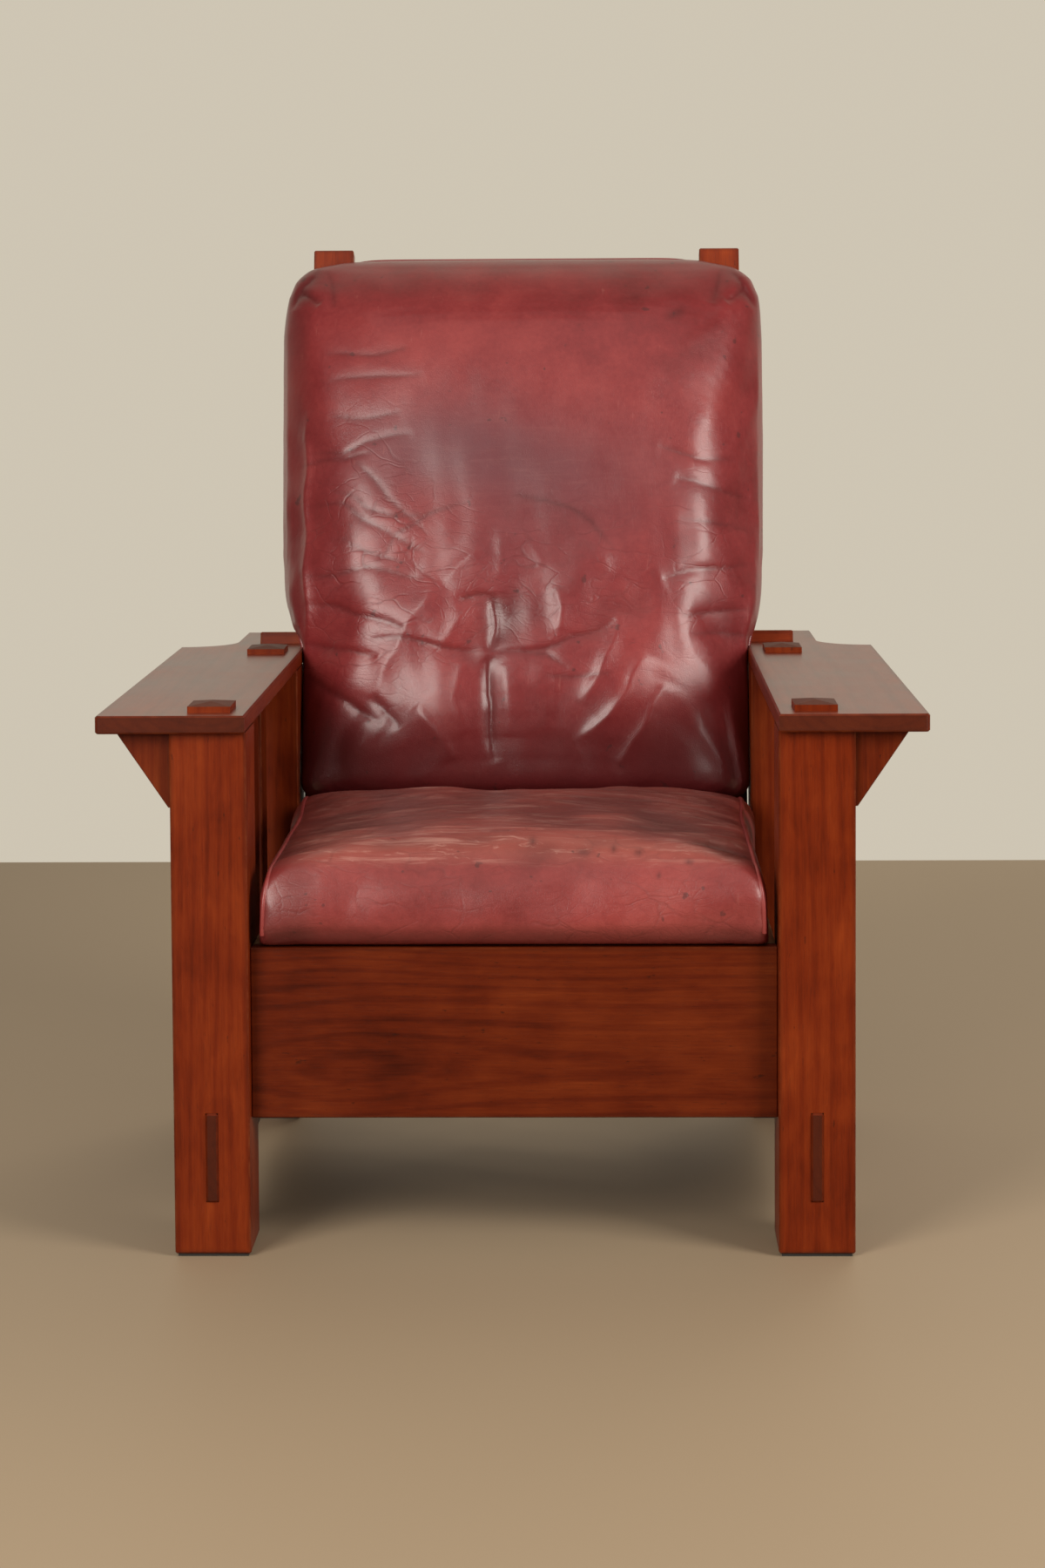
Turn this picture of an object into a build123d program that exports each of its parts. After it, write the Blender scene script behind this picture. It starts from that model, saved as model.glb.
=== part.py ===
from build123d import *
import os
from math import cos, pi, radians, sin, sqrt

os.makedirs("parts", exist_ok=True)

# Every length is in millimetres. X runs to the right as seen from the front, Y from the
# front of the chair to its back, and Z up from the floor.

# Side frames
seat_gap = 554.0            # between the two side frames
post_width = 80.0
post_depth = 88.0
post_spacing = 605.0        # front post's face to rear post's face
post_setback = 12.0         # front post's face behind the front edge of the arm
post_ease = 1.6             # small chamfer on the long edges of a post
glide_height = 3.3
glide_inset = 3.0

# Arms
arm_top = 573.0
arm_thickness = 19.0
arm_overhang = 76.0         # outside the posts
arm_shoulder = 24.0         # behind the rear post, to where the arm narrows
arm_tail_wood = 31.0        # outside the ends of the bar
arm_end_wood = 18.0         # behind the last notch
arm_step_lip = 2.0          # left of the wide part's end beside the sweep into the tail
arm_corner = 5.0            # front outer corner in plan
arm_ease = 1.8

# Through tenons on top of the posts
tenon_width = 45.0
tenon_depth = 58.0
tenon_proud = 6.5           # straight sides above the arm
tenon_peak = 3.2            # low pyramid above the sides
peak_flat = 2.0

# Corbels
corbel_run = 56.0
corbel_drop = 80.0
corbel_toe = 3.0            # blunt lower end
corbel_lip = 2.0            # blunt outer end
corbel_thickness = 25.0
corbel_recess = 10.0        # behind the face of its post

# Glued joints
glue_play = 0.1             # clearance round every tongue in its mortise
overrun = 5.0               # how far a cutter runs past the wood

# Front apron and rear seat rail
apron_top = 324.0
apron_height = 181.0
apron_thickness = 22.0
apron_recess = 20.0         # behind the face of the front post
rail_height = 150.0
rail_thickness = 20.0
rail_recess = 8.0           # behind the face of the rear post
apron_tongue = 25.0         # length of the tongues at both ends
apron_tongue_thickness = 11.0
apron_shoulder = 15.0       # wood above and below a tongue
board_ease = 1.2

# Lower side stretchers
stretcher_bottom = 50.5
stretcher_height = 110.0
stretcher_thickness = 22.0
stretcher_tongue = 13.0
stretcher_shoulder = 8.0
stretcher_proud = 2.5       # tongue ends stand out of both posts
stretcher_bevel = 1.8

# Side slats
slat_count = 5
slat_width = 60.0
slat_thickness = 10.0
slat_tongue = 9.0           # length let into the stretcher and into the arm

# Seat foundation
cleat_height = 24.0
cleat_thickness = 20.0
cleat_side_play = 2.0
deck_height = 20.0
deck_rail = 45.0
deck_play = 1.0
deck_tongue = 12.0
deck_tongue_thickness = 10.0
deck_slat_count = 5
deck_slat_width = 52.0
deck_slat_thickness = 11.0
deck_slat_tongue = 14.0

# Back frame
recline = 18.0              # degrees from upright, bar in its foremost notch
pivot_set = 51.0            # pivot behind the face of the rear post
pivot_drop = 19.0           # pivot below the top of the apron
stile_play = 2.0            # between a stile and its side frame
stile_width = 51.0
stile_thickness = 26.0
stile_rise = 802.0          # along the stile, pivot to top
stile_tail = 28.0           # along the stile, below the pivot
stile_tail_round = 11.0
stile_ease = 1.5
rung_count = 6
rung_height = 62.0
rung_thickness = 10.0
rung_bow = 12.0
rung_tongue = 18.0
rung_first = 20.0           # lower edge of the lowest rung above the pivot
rung_last = 26.0            # upper edge of the top rung below the stile's top
rung_front_inset = 2.0

# Pivots
pin_radius = 6.0
pin_in_stile = 40.0
pin_in_post = 38.0
pin_play = 0.05
washer_radius = 13.0
washer_play = 0.3

# Support bar and its notches
bar_thickness = 24.0
bar_height = 22.0
bar_depth = 10.0            # sunk below the arm's top
bar_play = 0.3
bar_outer_inset = 20.0      # bar's end inside the post's outer face
bar_ease = 1.5
notch_count = 4
notch_pitch = 36.0

# Seat cushion
cushion_play = 0.3          # under and behind a cushion
roll_steps = 5              # facets of a rolled cushion edge
seat_side_gap = 5.0         # between its sides and the side frames
seat_setback = 4.0          # behind the face of the front posts
seat_rear_gap = 18.0        # in front of the stiles, at the pivot
seat_side_height = 86.0
seat_crown = 22.0           # middle of the top above its side seams
seat_side_bulge = 3.0
seat_top_roll = 46.0        # run of the rolled edge at the top of both ends
seat_foot_roll = 12.0       # run of the rolled edge at the bottom of both ends
seat_side_roll = 14.0       # corners drawn in, seen from above
seat_nose_share = 0.55      # height of the foremost point
seat_place_shares = (0.30, 0.55, 0.72, 0.84)
seat_side_shares = ((0.0, 1.0), (0.55, 1.0), (0.84, 0.93), (1.0, 0.84))
seat_crown_shares = ((0.0, 1.0), (0.60, 1.0), (0.86, 0.82), (1.0, 0.60))
seat_shoulder = 12.0        # run of the rounded edge along each side seam
seat_shoulder_share = 0.14  # of the side's height that this edge takes

# Back cushion
back_side_gap = 6.0         # between its lower sides and the side frames
back_wing = 32.0            # how far it spreads over each arm
back_thickness = 108.0      # where the rounded sides meet the front
back_crown = 24.0           # middle of the front above the rounded sides
back_shoulder = 72.0        # run of the rounded edge between each side and the front
back_shoulder_share = 0.52  # of the thickness that this edge takes
back_side_bulge = 3.0
back_top_drop = 32.0        # top end below the tops of the stiles
back_foot_lift = 20.0       # lower end above the side seams of the seat
back_arm_gap = 19.0         # above the tenons' peaks, to where it starts to spread
back_flare = 84.0           # length over which it widens
back_top_roll = 66.0
back_foot_roll = 36.0       # lower front edge
back_foot_rear_roll = 12.0  # lower rear edge
back_corner_roll = 80.0     # corners drawn in, seen from the front
back_nose_share = 0.42      # thickness at the furthest point of the top end
back_rear_roll_share = 0.33
back_foot_crown_share = 0.3
back_flare_shares = ((0.0, 0.0), (0.45, 0.6), (1.0, 1.0))

# Places worked out from the sizes, the depths still counted from the arms' front edge
lean = radians(recline)
gap_half = seat_gap / 2
post_outer = gap_half + post_width
post_middle = gap_half + post_width / 2
arm_underside = arm_top - arm_thickness
stile_outer = gap_half - stile_play
stile_inner = stile_outer - stile_width
pivot_back = post_setback + post_spacing + pivot_set
pivot_height = apron_top - pivot_drop
bar_outer = post_outer - bar_outer_inset
notch_half = bar_thickness / 2 + bar_play
notch_middle = stile_thickness / 2 + bar_play + bar_thickness / 2
notch_rear_rise = (arm_top - pivot_height + (notch_middle + notch_half) * sin(lean)) / cos(lean)
notch_rear = pivot_back + (notch_middle + notch_half) * cos(lean) + notch_rear_rise * sin(lean)
arm_width = post_width + arm_overhang
arm_tail_width = bar_outer + arm_tail_wood - gap_half
arm_cove = arm_width - arm_tail_width - arm_step_lip
arm_wide_length = post_setback + post_spacing + post_depth + arm_shoulder
arm_length = notch_rear + (notch_count - 1) * notch_pitch + arm_end_wood
stile_reach = pivot_back + (stile_rise - stile_ease) * sin(lean) + stile_thickness / 2 * cos(lean)
overall_depth = max(arm_length, stile_reach)
front = -overall_depth / 2                      # y of the arms' front edge
front_post_face = front + post_setback
rear_post_face = front_post_face + post_spacing
front_post_back = front_post_face + post_depth
rear_post_back = rear_post_face + post_depth
apron_face = front_post_face + apron_recess
apron_back = apron_face + apron_thickness
rail_face = rear_post_face + rail_recess
apron_bottom = apron_top - apron_height
rail_bottom = apron_top - rail_height
deck_underside = apron_top - deck_height
back_place = Pos(0, front + pivot_back, pivot_height) * Rot(-recline, 0, 0)


def board(x, y, z, ease=0.0):
    """A squared board between the pairs x, y and z, with its edges chamfered by ease."""
    wood = Box(x[1] - x[0], y[1] - y[0], z[1] - z[0])
    if ease:
        wood = chamfer(wood.edges(), ease)
    return Pos((x[0] + x[1]) / 2, (y[0] + y[1]) / 2, (z[0] + z[1]) / 2) * wood


def around(middle, size):
    """The pair of places that a size centred on middle reaches."""
    return middle - size / 2, middle + size / 2


def mortise(x, y, z):
    """A cutter for the tongue between the pairs x, y and z, with the glue joint's clearance."""
    grown = [(low - glue_play, high + glue_play) for low, high in (x, y, z)]
    return board(*grown)


def save(name, piece):
    """Write one piece."""
    export_step(piece, os.path.join("parts", name + ".step"))


def save_pair(name, piece):
    """Write a piece of the +X side and its mirror image on the other side."""
    save(name + "_right", piece)
    save(name + "_left", mirror(piece, about=Plane.YZ))


# Tongues and what they are let into

stretcher_x = around(post_middle, stretcher_thickness)
stretcher_z = (stretcher_bottom, stretcher_bottom + stretcher_height)
tongue_x = around(post_middle, stretcher_tongue)
tongue_y = (front_post_face - stretcher_proud, rear_post_back + stretcher_proud)
tongue_z = (stretcher_z[0] + stretcher_shoulder, stretcher_z[1] - stretcher_shoulder)
apron_tongue_x = (gap_half, gap_half + apron_tongue)
apron_tongue_y = around(apron_face + apron_thickness / 2, apron_tongue_thickness)
apron_tongue_z = (apron_bottom + apron_shoulder, apron_top - apron_shoulder)
rail_tongue_y = around(rail_face + rail_thickness / 2, apron_tongue_thickness)
rail_tongue_z = (rail_bottom + apron_shoulder, apron_top - apron_shoulder)
slat_x = around(post_middle, slat_thickness)
slat_z = (stretcher_z[1] - slat_tongue, arm_underside + slat_tongue)
slat_space = (rear_post_face - front_post_back - slat_count * slat_width) / (slat_count + 1)


def tenon_reach(face):
    """The pairs x and y of the through tenon on the post whose front is at face."""
    return around(post_middle, tenon_width), around(face + post_depth / 2, tenon_depth)


def slat_reach(index):
    """The pair y of one side slat, counted from the front."""
    start = front_post_back + slat_space + index * (slat_width + slat_space)
    return start, start + slat_width


# Posts and glides


def post(face):
    """A squared post on its glide, with the through tenon and its low pyramid on top."""
    shaft = board((gap_half, post_outer), (face, face + post_depth), (glide_height, arm_underside))
    lower_edges = shaft.faces().sort_by(Axis.Z)[0].edges()
    shaft = chamfer(shaft.edges().filter_by(Axis.Z) + lower_edges, post_ease)
    x, y = tenon_reach(face)
    shaft += board(x, y, (arm_underside - overrun, arm_top + tenon_proud))
    foot = Pos(sum(x) / 2, sum(y) / 2, arm_top + tenon_proud) * Rectangle(tenon_width, tenon_depth)
    ridge = tenon_depth - tenon_width + peak_flat
    tip = Pos(sum(x) / 2, sum(y) / 2, arm_top + tenon_proud + tenon_peak)
    shaft += loft([foot, tip * Rectangle(peak_flat, ridge)], ruled=True)
    return shaft - mortise(tongue_x, tongue_y, tongue_z)


def glide(face):
    """The dark pad under a post, a little smaller than the post."""
    x = (gap_half + glide_inset, post_outer - glide_inset)
    y = (face + glide_inset, face + post_depth - glide_inset)
    return board(x, y, (0, glide_height))


def pin_cutter(inside, outside, radius):
    """A round bore on the back's pivot axis between two places along X."""
    middle = (inside + outside) / 2
    bore = Rot(0, 90, 0) * Cylinder(radius, outside - inside)
    return Pos(middle, front + pivot_back, pivot_height) * bore


front_post = post(front_post_face) - mortise(apron_tongue_x, apron_tongue_y, apron_tongue_z)
rear_post = post(rear_post_face) - mortise(apron_tongue_x, rail_tongue_y, rail_tongue_z)
rear_post -= pin_cutter(gap_half - overrun, gap_half + pin_in_post + glue_play, pin_radius)
save_pair("front_post", front_post)
save_pair("rear_post", rear_post)
save_pair("front_glide", glide(front_post_face))
save_pair("rear_glide", glide(rear_post_face))

# Arms

bar_mid_rise = (arm_top - pivot_height + notch_middle * sin(lean)) / cos(lean)
bar_floor = bar_mid_rise - bar_depth / cos(lean)


def notch(index):
    """A notch cut parallel to the leaning back, open at the top and at the inner edge."""
    x = (gap_half - overrun, bar_outer + bar_play)
    y = (notch_middle - notch_half, notch_middle + notch_half)
    cutter = board(x, y, (bar_floor - bar_play, bar_floor + bar_height + arm_thickness))
    return Pos(0, index * notch_pitch, 0) * (back_place * cutter)


def arm():
    """The flat arm: a wide front, a sweep into the narrow tail, mortises and bar notches."""
    wide = board((gap_half, gap_half + arm_width), (front, front + arm_wide_length), (0, arm_thickness))
    tail = board((gap_half, gap_half + arm_tail_width), (front, front + arm_length), (0, arm_thickness))
    plank = wide + tail
    uprights = plank.edges().filter_by(Axis.Z)
    throat = (gap_half + arm_tail_width, front + arm_wide_length, arm_thickness / 2)
    corner = (gap_half + arm_width, front, arm_thickness / 2)
    plank = fillet(uprights.sort_by_distance(throat)[0], arm_cove)
    uprights = plank.edges().filter_by(Axis.Z)
    plank = fillet(uprights.sort_by_distance(corner)[0], arm_corner)
    faces = plank.faces().sort_by(Axis.Z)
    plank = chamfer(faces[-1].edges() + faces[0].edges(), arm_ease)
    plank = Pos(0, 0, arm_underside) * plank
    for face in (front_post_face, rear_post_face):
        x, y = tenon_reach(face)
        plank -= mortise(x, y, (arm_underside - overrun, arm_top + overrun))
    for index in range(slat_count):
        plank -= mortise(slat_x, slat_reach(index), slat_z)
    for index in range(notch_count):
        plank -= notch(index)
    return plank


save_pair("arm", arm())

# Corbels


def corbel(face):
    """A straight-sided bracket under the arm, on the outer face of its post."""
    low = arm_underside - corbel_drop
    outline = Polyline(
        (post_outer, low),
        (post_outer + corbel_toe, low),
        (post_outer + corbel_run, arm_underside - corbel_lip),
        (post_outer + corbel_run, arm_underside),
        (post_outer, arm_underside),
        close=True,
    )
    bracket = extrude(Plane.XZ * make_face(outline), -corbel_thickness)
    slanted = [face for face in bracket.faces() if abs(face.normal_at().X * face.normal_at().Z) > 0]
    long_edges = slanted[0].edges().sort_by(SortBy.LENGTH)[-2:]
    bracket = chamfer(long_edges, board_ease)
    return Pos(0, face + corbel_recess, 0) * bracket


save_pair("front_corbel", corbel(front_post_face))
save_pair("rear_corbel", corbel(rear_post_face))

# Lower side stretcher and side slats

stretcher = board(tongue_x, tongue_y, tongue_z, stretcher_bevel)
stretcher += board(stretcher_x, (front_post_back, rear_post_face), stretcher_z, board_ease)
for index in range(slat_count):
    stretcher -= mortise(slat_x, slat_reach(index), slat_z)
save_pair("side_stretcher", stretcher)

for index in range(slat_count):
    slat = board(slat_x, slat_reach(index), slat_z, board_ease)
    save(f"side_slat_right_{index + 1}", slat)
    save(f"side_slat_left_{index + 1}", mirror(slat, about=Plane.YZ))

# Front apron, rear seat rail and their cleats


def rail(face, thickness, bottom, y_tongue, z_tongue):
    """A board between the posts with a tongue at each end."""
    wood = board((-gap_half, gap_half), (face, face + thickness), (bottom, apron_top), board_ease)
    reach = gap_half + apron_tongue
    return wood + board((-reach, reach), y_tongue, z_tongue)


def cleat(y):
    """A batten that carries one end of the seat frame."""
    reach = gap_half - cleat_side_play
    return board((-reach, reach), y, (deck_underside - cleat_height, deck_underside), board_ease)


save("front_apron", rail(apron_face, apron_thickness, apron_bottom, apron_tongue_y, apron_tongue_z))
save("rear_seat_rail", rail(rail_face, rail_thickness, rail_bottom, rail_tongue_y, rail_tongue_z))
save("front_seat_cleat", cleat((apron_back, apron_back + cleat_thickness)))
save("rear_seat_cleat", cleat((rail_face - cleat_thickness, rail_face)))

# Drop-in seat frame

deck_x = gap_half - deck_play
deck_y = (apron_back + deck_play, rail_face - deck_play)
deck_z = (deck_underside, apron_top)
deck_inner_x = deck_x - deck_rail
deck_inner_y = (deck_y[0] + deck_rail, deck_y[1] - deck_rail)
deck_tongue_z = around(apron_top - deck_height / 2, deck_tongue_thickness)
deck_slat_z = (apron_top - deck_slat_thickness, apron_top)
deck_slat_space = (deck_inner_y[1] - deck_inner_y[0] - deck_slat_count * deck_slat_width) / (
    deck_slat_count + 1
)
deck_slat_shelf = deck_inner_x + deck_slat_tongue


def deck_slat_y(index):
    """The pair y of one seat slat, counted from the front."""
    start = deck_inner_y[0] + deck_slat_space + index * (deck_slat_width + deck_slat_space)
    return start, start + deck_slat_width


def deck_cross_rail(y):
    """The front or rear rail of the seat frame, tongued into the side rails."""
    wood = board((-deck_inner_x, deck_inner_x), y, deck_z, board_ease)
    reach = deck_inner_x + deck_tongue
    return wood + board((-reach, reach), around(sum(y) / 2, deck_rail - 2 * deck_tongue), deck_tongue_z)


deck_side = board((deck_inner_x, deck_x), deck_y, deck_z, board_ease)
cross_rail_places = ((deck_y[0], deck_inner_y[0]), (deck_inner_y[1], deck_y[1]))
for y in cross_rail_places:
    tongue = around(sum(y) / 2, deck_rail - 2 * deck_tongue)
    deck_side -= mortise((deck_inner_x - overrun, deck_inner_x + deck_tongue), tongue, deck_tongue_z)
for index in range(deck_slat_count):
    seat = (deck_inner_x - overrun, deck_slat_shelf)
    housing = (apron_top - deck_slat_thickness, apron_top + overrun)
    deck_side -= mortise(seat, deck_slat_y(index), housing)
save_pair("seat_frame_side", deck_side)
save("seat_frame_front", deck_cross_rail(cross_rail_places[0]))
save("seat_frame_rear", deck_cross_rail(cross_rail_places[1]))
for index in range(deck_slat_count):
    slat = board((-deck_slat_shelf, deck_slat_shelf), deck_slat_y(index), deck_slat_z, board_ease)
    save(f"seat_slat_{index + 1}", slat)

# Back frame, drawn upright with its pivot at the origin and its front towards -Y

rung_space = (stile_rise - rung_last - rung_first - rung_count * rung_height) / (rung_count - 1)
rung_front = -stile_thickness / 2 + rung_front_inset


def rung_z(index):
    """The pair z of one back rung, counted from the lowest."""
    start = rung_first + index * (rung_height + rung_space)
    return start, start + rung_height


def rung(index):
    """A rung bowed towards the rear between the stiles, with a flat tongue at each end."""
    bow = [(-stile_inner, rung_front), (0, rung_front + rung_bow), (stile_inner, rung_front)]
    far = [(x, y + rung_thickness) for x, y in bow]
    outline = ThreePointArc(*bow) + Line(bow[2], far[2]) + ThreePointArc(*far) + Line(far[0], bow[0])
    low, high = rung_z(index)
    wood = Pos(0, 0, low) * extrude(make_face(outline), rung_height)
    reach = stile_inner + rung_tongue
    for side in (-1, 1):
        x = sorted((side * (stile_inner - glue_play), side * reach))
        wood += board(x, (rung_front, rung_front + rung_thickness), (low, high))
    return wood


def stile():
    """One side of the back, rounded at its foot, with a bore for the pivot pin."""
    y = around(0, stile_thickness)
    wood = board((stile_inner, stile_outer), y, (-stile_tail, stile_rise))
    foot = wood.faces().sort_by(Axis.Z)[0].edges().filter_by(Axis.X)
    wood = fillet(foot, stile_tail_round)
    top = wood.faces().sort_by(Axis.Z)[-1].edges()
    wood = chamfer(top + wood.edges().filter_by(Axis.Z), stile_ease)
    for index in range(rung_count):
        seat = (stile_inner - overrun, stile_inner + rung_tongue)
        wood -= mortise(seat, (rung_front, rung_front + rung_thickness), rung_z(index))
    return back_place * wood


bored_stile = stile() - pin_cutter(stile_outer - pin_in_stile - pin_play, gap_half, pin_radius + pin_play)
save_pair("back_stile", bored_stile)
for index in range(rung_count):
    save(f"back_rung_{index + 1}", back_place * rung(index))

# Pivot pins and washers

save_pair("pivot_pin", pin_cutter(stile_outer - pin_in_stile, gap_half + pin_in_post, pin_radius))
washer = pin_cutter(stile_outer + washer_play, gap_half, washer_radius)
washer -= pin_cutter(stile_outer, gap_half + overrun, pin_radius)
save_pair("pivot_washer", washer)

# Support bar, lying in the foremost notches and against the stiles

bar_y = (notch_middle - bar_thickness / 2, notch_middle + bar_thickness / 2)
bar = board((-bar_outer, bar_outer), bar_y, (bar_floor, bar_floor + bar_height), bar_ease)
save("support_bar", back_place * bar)

# Cushions, each lofted through cross sections with a flat bottom, bowed sides that turn over
# a rounded shoulder, and a crown


def rolled(distance, run):
    """How much of a rolled edge is reached at a distance from its end, as a quarter ellipse."""
    left = max(0.0, 1 - distance / run)
    return sqrt(1 - left * left)


def roll_distances(run):
    """Distances from the end at which the facets of a rolled edge meet."""
    return [run * (1 - cos(pi / 2 * step / roll_steps)) for step in range(1, roll_steps + 1)]


def between(place, table):
    """The value at a place, on straight lines through the pairs of a table."""
    for (low, start), (high, end) in zip(table, table[1:]):
        if place <= high:
            return start + (end - start) * (place - low) / (high - low)
    return table[-1][1]


def cushion_section(half, low, side, shoulder, crown, bulge):
    """A cross section: flat from low, bowed sides, shoulders of a run and a rise up to side, and the crown."""
    run, rise = shoulder
    seam = side - rise
    middle = (low + seam) / 2
    inner = half - run
    turn = (half - run * (1 - cos(pi / 4)), seam + rise * sin(pi / 4))
    right = ThreePointArc((half - bulge, low), (half + bulge, middle), (half, seam))
    right_shoulder = ThreePointArc((half, seam), turn, (inner, side))
    top = ThreePointArc((inner, side), (0, side + crown), (-inner, side))
    left_shoulder = ThreePointArc((-inner, side), (-turn[0], turn[1]), (-half, seam))
    left = ThreePointArc((-half, seam), (-half - bulge, middle), (-half + bulge, low))
    foot = Line((-half + bulge, low), (half - bulge, low))
    return make_face(right + right_shoulder + top + left_shoulder + left + foot)


def seat_cushion():
    """The seat cushion, with rolled ends and a top that falls a little towards the back."""
    start = post_setback + seat_setback
    depth = pivot_back - stile_thickness / 2 - seat_rear_gap - start
    width = gap_half - seat_side_gap - seat_side_bulge
    nose = seat_side_height * seat_nose_share
    rolls = roll_distances(seat_top_roll)
    places = rolls + [depth * share for share in seat_place_shares]
    places += [depth - roll for roll in reversed(rolls)]
    sections = []
    for place in places:
        end = min(place, depth - place)
        top_share = rolled(end, seat_top_roll)
        full = seat_side_height * between(place / depth, seat_side_shares)
        crown = seat_crown * between(place / depth, seat_crown_shares) * (1 + top_share) / 2
        low = nose * (1 - rolled(end, seat_foot_roll))
        side = nose + (full - nose) * top_share
        face = cushion_section(
            width - seat_side_roll * (1 - top_share),
            low,
            side,
            (seat_shoulder, (side - low) * seat_shoulder_share),
            crown,
            seat_side_bulge,
        )
        at = Pos(0, front + start + place, apron_top + cushion_play)
        sections.append(at * Rot(90, 0, 0) * face)
    return loft(sections, ruled=True)


def back_cushion():
    """The back cushion: narrow between the arms, wide above them, its foot cut level."""
    rear = -stile_thickness / 2 - cushion_play
    foot_height = apron_top + seat_side_height + back_foot_lift
    foot = (foot_height - pivot_height + rear * sin(lean)) / cos(lean)
    length = stile_rise - back_top_drop - foot
    waist_height = arm_top + tenon_proud + tenon_peak + back_arm_gap
    waist = (waist_height - pivot_height + rear * sin(lean)) / cos(lean) - foot
    width = gap_half - back_side_gap - back_side_bulge
    nose = back_thickness * back_nose_share
    places = roll_distances(back_foot_roll) + [waist / 3, waist * 2 / 3]
    places += [waist + back_flare * share for share, _ in back_flare_shares]
    places += [length - roll for roll in reversed(roll_distances(back_top_roll))]
    sections = []
    for place in places:
        low_share = min(1.0, place / waist)
        turn = radians(recline * (1 - low_share))
        top_share = rolled(length - place, back_top_roll)
        foot_share = rolled(place, back_foot_roll)
        flare_share = between(max(0.0, place - waist) / back_flare, back_flare_shares)
        half = width + back_wing * flare_share
        crown_share = back_foot_crown_share + (1 - back_foot_crown_share) * low_share
        rear_roll = nose * back_rear_roll_share * (1 - rolled(length - place, back_foot_rear_roll))
        low = rear_roll + back_foot_rear_roll * (1 - foot_share)
        side = nose + (back_thickness - nose) * top_share - back_foot_roll * (1 - foot_share)
        side = side / cos(turn)
        face = cushion_section(
            half - back_corner_roll * (1 - top_share),
            low,
            side,
            (back_shoulder * (1 + top_share) / 2, (side - low) * back_shoulder_share),
            back_crown * crown_share * top_share,
            back_side_bulge,
        )
        at = Pos(0, rear, foot + place) * Rot(recline * (1 - low_share), 0, 0)
        sections.append(at * Rot(0, 0, 180) * face)
    return back_place * loft(sections, ruled=True)


save("seat_cushion", seat_cushion())
save("back_cushion", back_cushion())
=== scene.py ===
from math import cos, pi, radians, sin

import bmesh
import bpy
import numpy as np
from mathutils import Matrix, Vector
from mathutils.bvhtree import BVHTree


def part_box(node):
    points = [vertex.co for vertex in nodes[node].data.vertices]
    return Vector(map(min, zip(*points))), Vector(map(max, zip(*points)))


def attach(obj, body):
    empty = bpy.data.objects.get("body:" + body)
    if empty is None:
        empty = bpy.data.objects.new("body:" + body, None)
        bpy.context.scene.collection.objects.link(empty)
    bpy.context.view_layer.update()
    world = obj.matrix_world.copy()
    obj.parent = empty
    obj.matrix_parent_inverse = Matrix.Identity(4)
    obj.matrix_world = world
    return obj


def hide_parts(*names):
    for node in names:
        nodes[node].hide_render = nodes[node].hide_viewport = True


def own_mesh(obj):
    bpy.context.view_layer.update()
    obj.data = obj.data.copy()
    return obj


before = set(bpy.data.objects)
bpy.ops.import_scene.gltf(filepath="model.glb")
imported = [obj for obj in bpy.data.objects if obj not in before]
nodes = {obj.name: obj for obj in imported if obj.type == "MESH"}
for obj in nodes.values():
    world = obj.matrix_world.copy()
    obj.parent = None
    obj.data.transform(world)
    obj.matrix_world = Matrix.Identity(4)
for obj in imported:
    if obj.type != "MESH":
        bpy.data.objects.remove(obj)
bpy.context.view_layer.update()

# Posts
# Two front and two rear posts of squared cherry, grain upright, stained red-brown and
# rubbed down. Each carries on through the arm as a tenon with a low pyramid for an end.


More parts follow.
